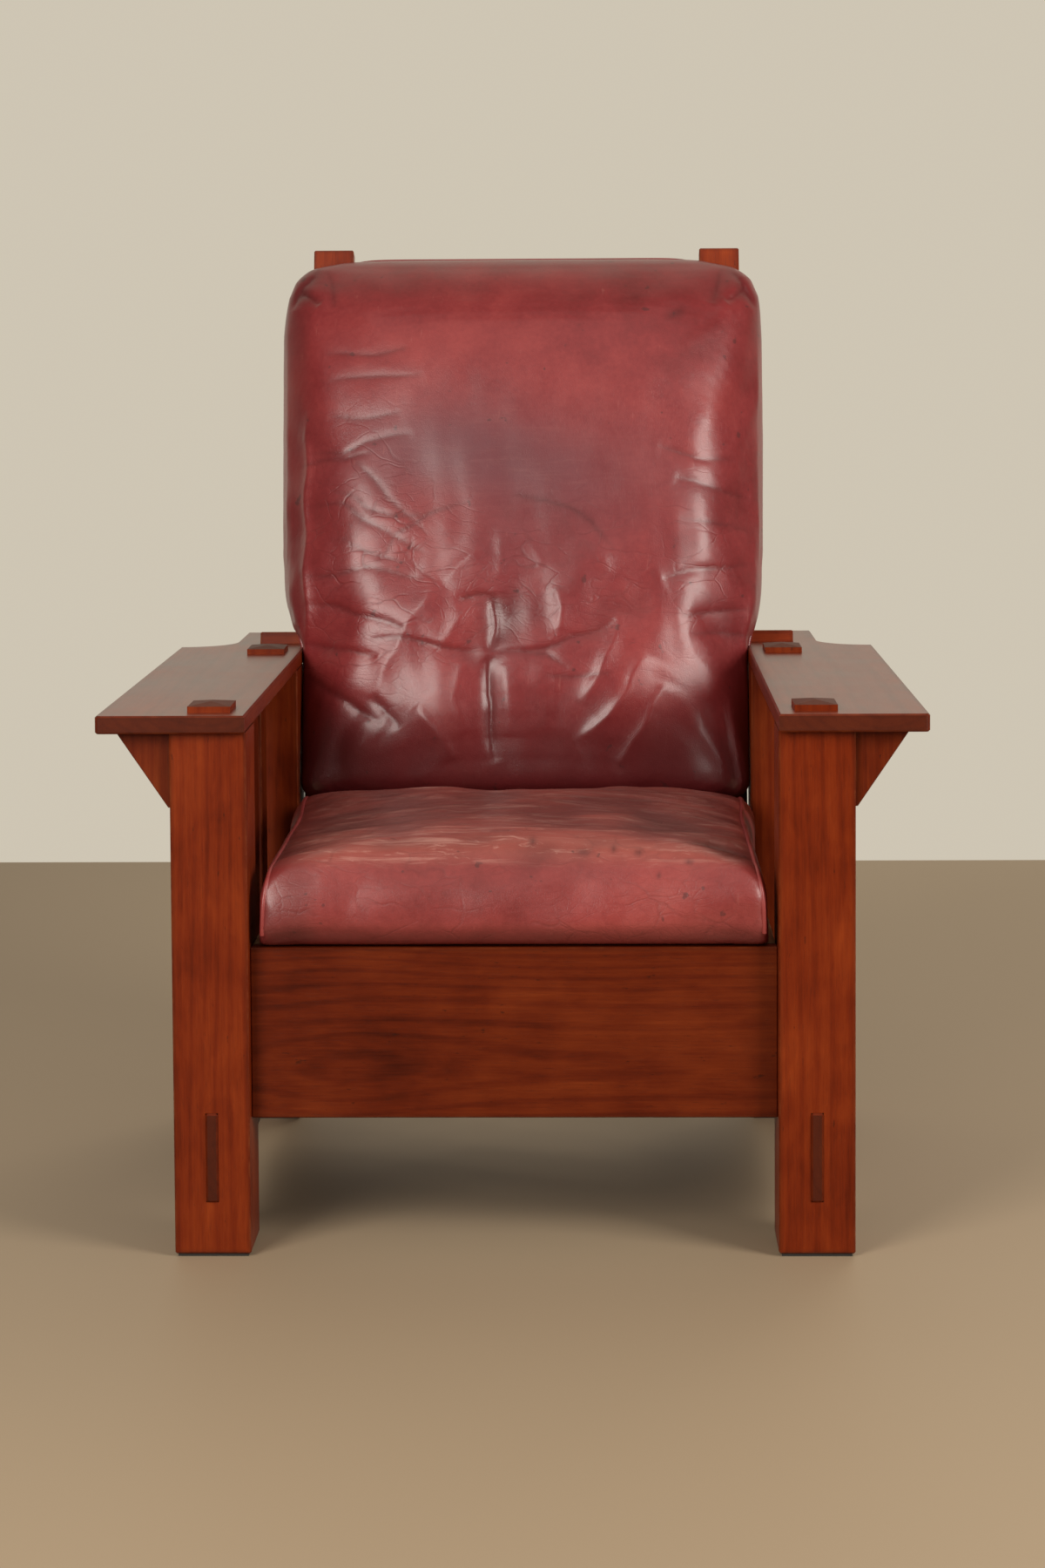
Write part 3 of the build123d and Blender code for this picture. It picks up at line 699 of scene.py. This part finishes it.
# The front panel has pulls at its ends and a little slack along its foot
front = np.stack(seat_places(places)[::2], 1)
relief = 0.0009 * swell(front * (1.0, 1.5), 0.110, 6)
for line, deep, left, right in (
    (((-0.262, 0.060), (-0.240, 0.072), (-0.205, 0.080)), 0.0020, 0.007, 0.011),
    (((0.262, 0.062), (0.238, 0.074), (0.205, 0.080)), 0.0020, 0.011, 0.007),
    (((-0.180, 0.020), (-0.172, 0.050), (-0.150, 0.078)), 0.0009, 0.012, 0.009),
    (((0.110, 0.015), (0.118, 0.045), (0.105, 0.074)), 0.0008, 0.012, 0.009),
    (((-0.250, 0.012), (-0.200, 0.020), (-0.150, 0.016)), 0.0014, 0.006, 0.008),
    (((0.245, 0.012), (0.190, 0.022), (0.140, 0.018)), 0.0014, 0.006, 0.008),
):
    relief += fold(front, line, deep, left, right)
places += facing * (relief * np.clip(-facing[:, 1], 0, 1) ** 2)[:, None]
# The front panel is drawn in along its foot, where it turns under on to the apron
across, depth, rise = seat_places(places)
drawn_in = 1 - step_up(rise, 0.0, 0.026)
places[:, 1] += 0.0085 * drawn_in * (1 - step_up(depth, 0.020, 0.120))
# What the posts, the apron and the seat frame hold flat
room = 0.2715 + 0.0048 * step_up(places[:, 1] - arm_front, 0.36, 0.54)
places[:, 0] = np.clip(places[:, 0], -room, room)
places[:, 1] = np.clip(places[:, 1], arm_front + 0.0135, arm_front + 0.640)
places[:, 2] = np.maximum(places[:, 2], apron_top + 0.0008)
move_points(seat, places)
across, depth, rise = seat_places(places)
flat = np.stack([across, depth], 1)
sat_on = 0.75 + 0.25 * blob(flat, (0.0, 0.26), (0.22, 0.22))
painted(seat, "worn", step_up(rise, 0.080, 0.098) * sat_on)
# Small dark spots along the front edge, and painted shade along the foot and towards its ends
marks = np.zeros(len(places))
for spot, high, wide in ((0.074, 0.421, 0.0075), (0.106, 0.424, 0.0030), (0.132, 0.421, 0.0050),
                         (0.153, 0.400, 0.0028), (0.185, 0.413, 0.0050), (0.020, 0.430, 0.0035)):
    marks += blob(places[:, (0, 2)], (spot, high), (wide, 0.0034))
foot_shade = 0.55 * (1 - step_up(rise, 0.004, 0.034))
foot_shade += 0.34 * step_up(np.abs(across), 0.10, 0.25) * (1 - step_up(depth, 0.03, 0.07))
painted(seat, "grimy", np.maximum(marks * (depth < 0.12), foot_shade))
# Painted shade in the hollows and the folds of the hide
painted(seat, "creased", -lift / 0.0030)
painted(seat, "netted", np.full(len(places), 0.5))


def surface_of(piece):
    """The faces of a piece, to be asked for the nearest place on them."""
    corners = [tuple(place) for place in points_of(piece)]
    return BVHTree.FromPolygons(corners, [tuple(face.vertices) for face in piece.data.polygons])


# The welts run up the front corners, turn, and run back along the sides of the top
seat_tree = surface_of(seat)
welt_out = 0.270
welt_length = 0.70
welt_front = 0.013
welt_foot = 0.010
welt_top = 0.100
upright = 0.055
corner = 0.050
corner_depth = 0.034
corner_rise = 0.030
seat_welts = []
for name, side in (("seat_welt_left", -1), ("seat_welt_right", 1)):
    path = []
    for share in np.linspace(0, 1, 90):
        run = share * welt_length
        if run < upright:
            back_in, up = welt_front, welt_foot + run
        elif run < upright + corner:
            turn = (run - upright) / corner * pi / 2
            back_in = welt_front + corner_depth * (1 - cos(turn))
            up = welt_foot + upright + corner_rise * sin(turn)
        else:
            back_in = welt_front + corner_depth + (run - upright - corner) * 0.96
            up = welt_top
        near = seat_tree.find_nearest(Vector((side * welt_out, arm_front + back_in, apron_top + up)))
        path.append(tuple(near[0] + near[1] * 0.0005))
    path = np.array(path)
    for turn in range(6):
        path[1:-1] = path[1:-1] * 0.5 + (path[:-2] + path[2:]) * 0.25
    seat_welts.append(welt(name, [tuple(place) for place in path], 0.0026))
for piece in [seat] + seat_welts:
    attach(piece, "seat_cushion")
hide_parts("seat_cushion")

# Back cushion
# The same hide over a thicker filling. One panel makes the front and wraps round the
# sides, gathered at the top corners, and a welt joins it to the panel behind.

# The pivot of the back, and how far the fronts of the stiles stand off a line through it
pivot = np.array((0.0, arm_front + 0.668, 0.305))
stile_front = 0.0133
rise_way = np.array((0.0, sin(lean), cos(lean)))
front_way = np.array((0.0, -cos(lean), sin(lean)))


def on_back(across, forward, rise):
    """A place given across the back, forward of the stiles and up along them."""
    return pivot + np.array((across, 0.0, 0.0)) + front_way * (forward + stile_front) + rise_way * rise


def back_places(places):
    """Places across the back, forward of the stiles and up along them."""
    off = places - pivot
    return off[:, 0], off @ front_way - stile_front, off @ rise_way


# Left and right edge of the cushion, up along the stiles
outline = np.array((
    (0.080, -0.268, 0.268), (0.095, -0.277, 0.277), (0.140, -0.279, 0.279), (0.250, -0.280, 0.280),
    (0.275, -0.286, 0.284), (0.300, -0.295, 0.291), (0.330, -0.301, 0.295), (0.380, -0.305, 0.298),
    (0.538, -0.308, 0.301), (0.670, -0.309, 0.301), (0.700, -0.307, 0.300), (0.724, -0.304, 0.298),
    (0.746, -0.298, 0.292), (0.765, -0.286, 0.280), (0.777, -0.267, 0.261), (0.783, -0.245, 0.239),
))
back_foot = 0.082
back_top = 0.783
back_steps = 90
back_spokes = 130
# The foot is cut level, to sit on the seat, and the cut fades out by a height above it
foot_level = 0.18
level_reach = 0.170
back_loops = []
for step in range(back_steps + 1):
    rise = back_foot + (back_top - back_foot) * (1 - cos(pi * step / back_steps)) / 2
    foot_gap = rise - back_foot
    top_roll = roll(back_top - rise, 0.085, start=0.0010)
    foot_roll = roll(foot_gap, 0.034, 2.2)
    rear_roll = roll(foot_gap, 0.022)
    level = max(0.0, 1 - foot_gap / level_reach) * foot_level
    left = np.interp(rise, outline[:, 0], outline[:, 1])
    right = np.interp(rise, outline[:, 0], outline[:, 2])
    thick = np.interp(rise, (0.10, 0.30, 0.60, 0.76), (0.088, 0.090, 0.088, 0.084))
    crown = np.interp(rise, (0.10, 0.25, 0.60, 0.76), (0.010, 0.020, 0.020, 0.010))
    waist = 0.040 * top_roll
    loop = []
    for spoke in range(back_spokes):
        angle = 2 * pi * spoke / back_spokes
        across = along_spoke(angle, 0.46)
        full = thick + crown * (1 - across * across)
        if sin(angle) >= 0:
            forward = waist + (full * top_roll - waist) * foot_roll * rounded(across, 6.0)
        else:
            forward = waist - (waist - 0.0010) * rear_roll * rounded(across, 12.0)
        wide = (right - left) / 2 * across + (right + left) / 2
        loop.append(tuple(on_back(wide, forward, rise - forward * level)))
    back_loops.append(loop)
back = closed_form("back_cushion_leather", back_loops)
covered(back, 0.0066)
across, forward, rise = back_places(points_of(back))
cut = rise + forward * foot_level - back_foot
held = np.maximum(1 - step_up(forward, 0.006, 0.034), 0.6 * (1 - step_up(cut, 0.004, 0.030)))
calm = np.maximum(step_up(rise, 0.50, 0.62), 1 - step_up(np.abs(across), 0.15, 0.22))[:, None]
back_swell_cap = 0.024
back_slack = 0.010
stuffed(back, held, back_swell_cap, back_slack, np.maximum(calm, 0.35))
# The panel pulls in as it fills, so it is let out again to the outline it was cut for
across, forward, rise = back_places(points_of(back))
level = foot_level * np.clip(1 - (rise - back_foot) / level_reach, 0, 1)
height = rise + forward * level
height = back_foot + (height - height.min()) * (back_top - back_foot) / (height.max() - height.min())
stations = np.linspace(back_foot, back_top, 44)
for side, column in ((-1, 1), (1, 2)):
    reached = np.array([np.max(across[np.abs(height - station) < 0.011] * side) for station in stations])
    wanted = np.interp(stations, outline[:, 0], outline[:, column]) * side
    own_side = across * side > 0
    across[own_side] *= np.interp(height[own_side], stations, wanted / reached)
rise = height - forward * level
places = pivot + front_way * (forward + stile_front)[:, None] + rise_way * rise[:, None]
places[:, 0] = across
move_points(back, places)
divided(back)
places = points_of(back)
facing = directions_of(back)
across, forward, rise = back_places(places)
flat = np.stack([across, rise], 1)
lift = np.zeros(len(places))
# No crease is drawn with a ruler, so each wanders a little off its line
wander_across = np.sin(rise * 71 + np.sin(across * 43) * 2.0)
wander_up = np.sin(across * 63 + np.sin(rise * 51) * 2.2)
wobble = 0.0018 * np.stack([wander_across, wander_up], 1)
# Each crease: its line across the back and up, its depth, which is negative for a ridge,
# and how far it eases off to its left and to its right
creases = (
    # Fine lines that run in from the left
    (((-0.270, 0.504), (-0.226, 0.494), (-0.199, 0.511), (-0.138, 0.518)), 0.0020, 0.004, 0.008),
    (((-0.216, 0.494), (-0.192, 0.466), (-0.151, 0.416), (-0.116, 0.388)), 0.0014, 0.0035, 0.006),
    (((-0.269, 0.438), (-0.225, 0.431), (-0.178, 0.399), (-0.116, 0.361)), 0.0018, 0.0035, 0.007),
    (((-0.277, 0.348), (-0.231, 0.344), (-0.190, 0.348), (-0.123, 0.333)), 0.0020, 0.004, 0.008),
    (((-0.274, 0.316), (-0.237, 0.306), (-0.189, 0.288), (-0.136, 0.265)), 0.0028, 0.0045, 0.009),
    (((-0.276, 0.269), (-0.230, 0.251), (-0.179, 0.238)), 0.0030, 0.0045, 0.010),
    (((-0.240, 0.456), (-0.197, 0.428), (-0.159, 0.411), (-0.110, 0.413)), 0.0013, 0.003, 0.006),
    (((-0.223, 0.389), (-0.190, 0.367), (-0.142, 0.355)), 0.0013, 0.003, 0.006),
    # Puckers at the ends of the top seam
    (((-0.291, 0.729), (-0.275, 0.718), (-0.258, 0.703)), 0.0050, 0.005, 0.010),
    (((0.284, 0.730), (0.268, 0.719), (0.252, 0.706)), 0.0050, 0.010, 0.005),
    # The upright tuck below the middle and the short fold at its head
    (((-0.037, 0.315), (-0.036, 0.276), (-0.039, 0.239)), 0.0055, 0.008, 0.005),
    (((-0.040, 0.239), (-0.045, 0.192), (-0.041, 0.149), (-0.037, 0.110)), 0.0070, 0.011, 0.007),
    (((-0.082, 0.307), (-0.055, 0.314), (-0.036, 0.313)), 0.0032, 0.004, 0.010),
    # Lines that cross the tuck
    (((-0.190, 0.262), (-0.140, 0.257), (-0.097, 0.248), (-0.040, 0.239)), 0.0022, 0.0035, 0.010),
    (((-0.040, 0.239), (-0.002, 0.241), (0.028, 0.239), (0.054, 0.221)), 0.0022, 0.004, 0.008),
    (((-0.002, 0.243), (0.041, 0.250), (0.079, 0.265), (0.112, 0.282)), 0.0024, 0.0035, 0.011),
    (((0.020, 0.211), (0.062, 0.212), (0.111, 0.213)), 0.0012, 0.004, 0.006),
    # Pulls low on the left
    (((-0.285, 0.236), (-0.235, 0.198), (-0.203, 0.175), (-0.172, 0.155)), 0.0042, 0.009, 0.013),
    (((-0.187, 0.193), (-0.169, 0.168), (-0.152, 0.149)), 0.0026, 0.006, 0.010),
    # A shallow arch over the middle
    (((-0.183, 0.350), (-0.157, 0.386), (-0.120, 0.415), (-0.070, 0.432)), 0.0013, 0.012, 0.008),
    (((-0.020, 0.437), (0.030, 0.432), (0.085, 0.405), (0.110, 0.370)), 0.0009, 0.008, 0.012),
    # Wrinkles at the two sides
    (((-0.285, 0.490), (-0.256, 0.493), (-0.223, 0.487), (-0.185, 0.498)), 0.0020, 0.006, 0.010),
    (((0.165, 0.500), (0.214, 0.488), (0.266, 0.493)), 0.0024, 0.009, 0.012),
    (((0.185, 0.462), (0.229, 0.453), (0.281, 0.449)), 0.0024, 0.009, 0.014),
    (((0.190, 0.412), (0.235, 0.405), (0.280, 0.408)), 0.0014, 0.009, 0.012),
    (((0.170, 0.334), (0.228, 0.349), (0.285, 0.366)), 0.0034, 0.010, 0.014),
    (((0.190, 0.290), (0.243, 0.298), (0.288, 0.308)), 0.0028, 0.008, 0.012),
    (((0.204, 0.267), (0.253, 0.273), (0.285, 0.279)), 0.0022, 0.007, 0.010),
    # Faint lines higher on the left
    (((-0.250, 0.629), (-0.192, 0.625), (-0.140, 0.629)), 0.0016, 0.008, 0.014),
    (((-0.250, 0.597), (-0.192, 0.593), (-0.125, 0.597)), 0.0020, 0.009, 0.016),
    (((-0.245, 0.545), (-0.205, 0.541), (-0.150, 0.546)), 0.0013, 0.008, 0.014),
    # Gathers round the top corners
    (((-0.262, 0.765), (-0.284, 0.736), (-0.298, 0.700)), 0.0055, 0.008, 0.008),
    (((0.258, 0.765), (0.279, 0.736), (0.293, 0.700)), 0.0055, 0.008, 0.008),
    (((-0.258, 0.760), (-0.244, 0.728), (-0.238, 0.696)), 0.0024, 0.009, 0.012),
    (((0.254, 0.760), (0.242, 0.728), (0.236, 0.700)), 0.0024, 0.009, 0.012),
    # Ridges that fan out low on both sides
    (((0.118, 0.290), (0.105, 0.246), (0.094, 0.214), (0.070, 0.175)), -0.0046, 0.022, 0.009),
    (((0.145, 0.240), (0.126, 0.197), (0.101, 0.165), (0.060, 0.132)), -0.0050, 0.022, 0.009),
    (((0.172, 0.205), (0.155, 0.170), (0.139, 0.141), (0.112, 0.105)), -0.0040, 0.018, 0.008),
    (((-0.130, 0.176), (-0.107, 0.150), (-0.084, 0.112)), -0.0036, 0.009, 0.020),
    # Short ridges over the tuck
    (((-0.052, 0.376), (-0.077, 0.351), (-0.098, 0.322)), -0.0022, 0.020, 0.010),
    (((-0.026, 0.400), (-0.030, 0.365), (-0.029, 0.332)), -0.0018, 0.018, 0.009),
    (((-0.002, 0.402), (0.013, 0.376), (0.026, 0.346)), -0.0020, 0.009, 0.018),
    (((0.036, 0.324), (0.045, 0.295), (0.046, 0.264)), -0.0028, 0.012, 0.006),
    (((0.075, 0.390), (0.092, 0.361), (0.106, 0.336)), -0.0018, 0.009, 0.020),
    # The bead where the panel turns round the left side
    (((-0.2660, 0.235), (-0.2690, 0.300), (-0.2705, 0.420), (-0.2710, 0.560)), -0.0052, 0.0060, 0.0060),
    # Broad soft ridges beside the tuck
    (((-0.105, 0.330), (-0.135, 0.285), (-0.165, 0.235), (-0.185, 0.185)), -0.0036, 0.020, 0.022),
    (((-0.062, 0.300), (-0.090, 0.262), (-0.105, 0.245)), -0.0026, 0.012, 0.012),
    (((-0.020, 0.228), (-0.022, 0.180), (-0.018, 0.140)), -0.0022, 0.016, 0.014),
    (((-0.075, 0.232), (-0.082, 0.185), (-0.072, 0.140)), -0.0026, 0.018, 0.014),
    (((0.024, 0.228), (0.032, 0.185), (0.028, 0.145)), -0.0018, 0.014, 0.016),
)
# Painted shade darkens the grooves, and the faint ones are shallower than the rest
groove_shade = np.zeros(len(places))
groove_shade_width = 0.0024
faint = 0.0021
for line, deep, left, right in creases:
    if deep > 0:
        groove_shade = np.maximum(groove_shade, -fold(flat + wobble, line, 1.0, groove_shade_width, groove_shade_width))
        deep *= 0.62 if deep < faint else 1.0
    lift += fold(flat + wobble, line, deep, left, right)
# Broad hollows between the pulls, and the slow swell of the filling
for height, middle, reach, turn in (
    (-0.0040, (-0.020, 0.285), (0.075, 0.055), 0.0),
    (-0.0030, (-0.150, 0.215), (0.060, 0.040), 0.5),
    (-0.0030, (0.150, 0.300), (0.050, 0.045), -0.6),
    (0.0034, (-0.205, 0.370), (0.045, 0.110), 0.0),
    (0.0030, (0.215, 0.430), (0.040, 0.130), 0.0),
    (0.0024, (-0.110, 0.150), (0.035, 0.040), 0.0),
):
    lift += height * blob(flat, middle, reach, turn)
restless = 0.30 + 0.70 * blob(flat, (0.0, 0.29), (0.30, 0.19))
lift += restless * (0.0017 * swell(flat, 0.120, 8) + 0.0005 * swell(flat * (1.5, 0.8), 0.060, 9))
front_share = np.clip(facing @ front_way, 0, 1)
reach_in = step_up(forward, 0.030, 0.070)
places += facing * (lift * front_share * reach_in)[:, None]
# The hide stands in a soft bead where it turns round each side
bead = step_up(rise, 0.20, 0.26) * (1 - step_up(rise, 0.60, 0.70))
bead_height = 0.0018
bead_angle = 0.62
bead_spread = 0.14
for side in (-1, 1):
    turned = np.arctan2(facing @ front_way, facing[:, 0] * side) - bead_angle
    beaded = np.exp(-(turned / bead_spread) ** 2)
    places += facing * (bead_height * bead * beaded * (forward > 0.02))[:, None]
# The posts, washers and arms beside the foot hold it in, and the stiles hold it flat behind
room = 0.2762 + 0.0320 * step_up(places[:, 2], 0.576, 0.622)
places[:, 0] = np.clip(places[:, 0], -room, room)
across, forward, rise = back_places(places)
places += front_way * np.maximum(0.0006 - forward, 0)[:, None]
move_points(back, places)
across, forward, rise = back_places(places)
flat = np.stack([across, rise], 1)


def patches(*parts):
    """Soft patches of given strength, middle and reach on the back, added up."""
    return sum(strength * blob(flat, middle, reach) for strength, middle, reach in parts)


# Where heads and shoulders have greyed the hide, and where it has cracked into a net
worn = patches((0.9, (-0.10, 0.500), (0.12, 0.060)), (0.7, (0.05, 0.460), (0.13, 0.075)),
               (0.30, (-0.03, 0.340), (0.10, 0.075)))
painted(back, "worn", worn * front_share)
netted = patches((1.0, (-0.200, 0.400), (0.075, 0.130)), (0.8, (0.020, 0.330), (0.140, 0.100)),
                 (0.6, (0.225, 0.360), (0.050, 0.150)), (0.5, (-0.180, 0.250), (0.100, 0.070)))
painted(back, "netted", netted * front_share)
# Painted shade along the foot, the left side and the top, and one smudge near the top right corner
low = 1 - step_up(rise, 0.100, 0.215)
side_and_top_shade = 0.45 * step_up(-across, 0.266, 0.284) + 0.25 * step_up(rise, 0.740, 0.775)
smudge = 0.8 * blob(flat, (0.190, 0.680), (0.014, 0.006), 0.6)
painted(back, "grimy", np.maximum(low, side_and_top_shade + smudge))
# Painted shade in the hollows and along the grooves of the creases
painted(back, "creased", np.maximum((-lift - 0.0018) / 0.0050, 0.80 * groove_shade * front_share))

# One welt goes round the edge of the rear panel
back_tree = surface_of(back)
rim = [(np.interp(v, outline[:, 0], outline[:, 1]), v) for v in np.linspace(0.105, 0.770, 90)]
rim += [(v, 0.786) for v in np.linspace(-0.225, 0.218, 60)]
rim += [(np.interp(v, outline[:, 0], outline[:, 2]), v) for v in np.linspace(0.770, 0.105, 90)]
rim += [(v, 0.088) for v in np.linspace(0.25, -0.25, 50)]
path = []
for wide, up in rim:
    near = back_tree.find_nearest(Vector(on_back(wide * 1.02, 0.008, up)))
    path.append(np.array(near[0] + near[1] * 0.0004))
path = np.array(path + path[:1])
for turn in range(10):
    path[:-1] = path[:-1] * 0.5 + (np.roll(path[:-1], 1, 0) + np.roll(path[:-1], -1, 0)) * 0.25
    path[-1] = path[0]
back_welt = welt("back_welt", [tuple(place) for place in path], 0.0028)
for piece in (back, back_welt):
    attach(piece, "back_cushion")
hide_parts("back_cushion")
# The head of the back, and a mesh of its own for each piece of the back cushion
head_of_back = on_back(0.0, 0.0, back_top).tolist()
for piece in (back, back_welt):
    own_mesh(piece)


def hide_finish(name, dark, mid, light, worn_tone, roughness, streaks):
    """Waxed oxblood hide: clouds of colour, a worn bloom, a net of fine creases and a low sheen. Its worn
    places, its dirt and painted shade, the painted shade of its creases and its netted places are read from
    the mesh."""
    material, shader, start = finish_of(name)
    place = start.node("ShaderNodeTexCoord", output="Object")
    worn, grimy, creased, netted = [
        start.node("ShaderNodeAttribute", {"attribute_name": kept}, output="Fac")
        for kept in ("worn", "grimy", "creased", "netted")]
    pale_scuff = (0.48, 0.215, 0.175)
    scratched = (0.36, 0.11, 0.09)
    dirt_and_shade_tone = (0.045, 0.0060, 0.0068)
    crease_shade_tone = (0.045, 0.0060, 0.0070)
    net_dark = (0.050, 0.008, 0.009)
    speck_dark = (0.035, 0.012, 0.012)
    cloud = place.noise(5.5, 3.0, 0.5)
    patch = place.noise(24.0, 4.0, 0.6)
    grain = place.noise(160.0, 4.0, 0.65)
    fine = place.noise(900.0, 3.0, 0.6)
    drawn = []
    for angle, scale in ((0.10, 62.0), (-0.30, 85.0), (0.55, 75.0)):
        laid = start.node("ShaderNodeMapping", {}, {"Vector": place, "Rotation": (0.0, 0.0, angle)})
        drawn.append(laid.stretched(0.14, 1.0, 2.2).noise(scale, 4.0, 0.68, 0.8))
    tone = (cloud - 0.5) * 0.9 + (patch - 0.5) * 0.5 + (grain - 0.5) * 0.30 + 0.5
    colour = tone.colours((0.15, dark), (0.50, mid), (0.88, light))
    # What wear does: a bloom of its own tone, and long pale scuffs across it
    bloom = worn * (patch * 0.6 + cloud * 0.5 + 0.15)
    colour = bloom.between(colour, worn_tone)
    scuffs = drawn[0].ramp(0.50, 0.68) * 0.80 + drawn[1].ramp(0.56, 0.68) * 0.7
    scuffs = (scuffs + drawn[2].ramp(0.60, 0.69) * 0.6) * worn * streaks
    colour = scuffs.between(colour, pale_scuff)
    # Fine creases: the borders of stretched cells, pulled out of true
    pull = place.noise(14.0, 2.0, 0.5, output=1)
    slanted = {"Vector": place, "Rotation": (0.0, radians(38), 0.0), "Scale": (0.55, 0.8, 1.25)}
    turned = start.node("ShaderNodeMapping", {}, slanted)
    pulled = {0: pull, 1: (0.05, 0.05, 0.05), 2: turned}
    turned = start.node("ShaderNodeVectorMath", {"operation": "MULTIPLY_ADD"}, pulled)
    borders = {"feature": "DISTANCE_TO_EDGE"}
    net, small_net, cells = [
        start.node("ShaderNodeTexVoronoi", borders, {"Vector": vector, "Scale": scale})
        for vector, scale in ((turned, 30.0), (turned, 85.0), (place, 420.0))]
    lines = (1 - net.ramp(0.0, 0.055)) * patch.ramp(0.40, 0.60) * netted
    small_lines = (1 - small_net.ramp(0.0, 0.085)) * cloud.ramp(0.42, 0.62) * netted
    colour = (lines * 0.30 + small_lines * 0.16).between(colour, net_dark)
    scratch = place.stretched(1.0, 0.3, 0.12).noise(210.0, 2.0, 0.5).ramp(0.69, 0.74)
    scratch = scratch * patch.ramp(0.45, 0.65)
    colour = (scratch * 0.30).between(colour, scratched)
    # Dirt and painted shade darken the hide where the mesh marks them, and painted shade darkens its
    # creases
    colour = (grimy * (patch * 0.5 + 0.35)).between(colour, dirt_and_shade_tone)
    colour = (creased * 0.55).between(colour, crease_shade_tone)
    specks = place.noise(62.0, 2.0, 0.5).ramp(0.71, 0.75)
    colour = (specks * 0.5).between(colour, speck_dark)
    rough = roughness + (patch - 0.5) * 0.16 + (grain - 0.5) * 0.12 + worn * 0.10
    wrinkle = place.stretched(1.0, 0.7, 1.0).noise(70.0, 5.0, 0.62, 0.6)
    height = cells.ramp(0.0, 0.14) * 0.15 + fine * 0.20 + grain * 0.35 + wrinkle * 0.5 + patch * 0.35
    height = height - lines * 1.5 - small_lines * 0.6
    dressed(shader, colour, rough, height, 0.35, 0.0010)
    shader.inputs["Specular IOR Level"].default_value = 0.44
    shader.inputs["Coat Weight"].default_value = 0.34
    shader.inputs["Coat Roughness"].default_value = 0.24
    return material


back_hide = hide_finish("back_hide", (0.115, 0.011, 0.012), (0.215, 0.022, 0.024), (0.330, 0.045, 0.042),
                        (0.115, 0.036, 0.046), 0.335, 0.06)
seat_hide = hide_finish("seat_hide", (0.135, 0.015, 0.014), (0.255, 0.033, 0.030), (0.380, 0.066, 0.056),
                        (0.320, 0.080, 0.058), 0.42, 1.0)
for finish, pieces in ((back_hide, [back, back_welt]), (seat_hide, [seat] + seat_welts)):
    for piece in pieces:
        finished(piece, finish)

# The studio
# A plain pale floor that ends at a pale lit background, two soft windows of light in front
# at the sides, one above and one behind, and the camera a little above the arms.

floor_tone = finish_of("floor_tone")[0]
floor_shader = floor_tone.node_tree.nodes["Principled BSDF"]
floor_shader.inputs["Base Color"].default_value = (0.33, 0.245, 0.157, 1.0)
floor_shader.inputs["Roughness"].default_value = 0.6
floor_rear = 2.1
floor_side = 2.6
floor_front = -2.8
floor_corners = [(-floor_side, floor_front, 0), (floor_side, floor_front, 0), (floor_side, floor_rear, 0),
                 (-floor_side, floor_rear, 0)]
floor_mesh = bpy.data.meshes.new("floor")
floor_mesh.from_pydata(floor_corners, [], [(0, 1, 2, 3)])
floor_mesh.materials.append(floor_tone)
floor = placed("floor", floor_mesh)


def soft_light(name, place, aim_height, width, height, power):
    """A rectangular window of warm light turned to a point over the middle of the floor."""
    light = bpy.data.lights.new(name, "AREA")
    light.shape = "RECTANGLE"
    light.size = width
    light.size_y = height
    light.energy = power
    light.color = (1.0, 0.95, 0.88)
    made = placed(name, light)
    made.location = place
    aim = Vector((0, 0, aim_height)) - Vector(place)
    made.rotation_euler = aim.to_track_quat("-Z", "Y").to_euler()
    made.visible_camera = False
    return made


soft_light("left_window", (-1.8, -2.95, 1.9), 0.6, 1.5, 2.0, 96)
soft_light("right_window", (2.7, -2.1, 1.8), 0.6, 1.4, 2.0, 104)
soft_light("overhead", (0.0, -1.2, 3.2), 0.4, 2.5, 2.5, 13)
# The rear one only fills the shadows behind, and isn't mirrored in the arms
rear_window = soft_light("rear_window", (1.3, 3.2, 2.3), 0.6, 1.8, 1.8, 42)
rear_window.visible_glossy = False

# The background is as bright as a lit wall to the rear and to the eye, and dim to the front and sides
world = bpy.data.worlds.new("room")
world.use_nodes = True
background = world.node_tree.nodes["Background"]
background.inputs["Color"].default_value = (1.0, 0.905, 0.735, 1.0)
sky = Term(world.node_tree)
direction = sky.node("ShaderNodeTexCoord", output="Generated")
rearward = sky.node("ShaderNodeSeparateXYZ", inputs={0: direction}, output=1)
seen = sky.node("ShaderNodeLightPath", output="Is Camera Ray")
wall_strength = 0.53
dim_strength = 0.09
glow = rearward.ramp(0.15, 0.60).maths("MAXIMUM", seen) * wall_strength + dim_strength
glow.into(background, "Strength")
bpy.context.scene.world = world

# The camera: the photograph's width, the row of its level line and of its middle, and its
# focal length, all in the photograph's own pixels, then where it stands and how it is turned
photo_width = 1200
axis_row = 607.9
middle_row = 900
focal_pixels = 3829
off_middle = 0.0876
from_arms = 3.430
eye_height = 0.983
pan = radians(1.249)
dip = radians(-3.633)
slant = radians(0.333)
camera_data = bpy.data.cameras.new("camera")
camera_data.sensor_fit = "HORIZONTAL"
sensor_width = 36.0
camera_data.sensor_width = sensor_width
camera_data.lens = sensor_width * focal_pixels / photo_width
camera_data.shift_y = (axis_row - middle_row) / photo_width
camera = placed("camera", camera_data)
camera.location = (off_middle, arm_front - from_arms, eye_height)
camera.rotation_euler = (
    Matrix.Rotation(pan, 3, "Z")
    @ Matrix.Rotation(dip, 3, "X")
    @ Matrix.Rotation(slant, 3, "Y")
    @ Matrix.Rotation(radians(90), 3, "X")
).to_euler()
bpy.context.scene.camera = camera
bpy.context.scene.view_settings.view_transform = "Standard"
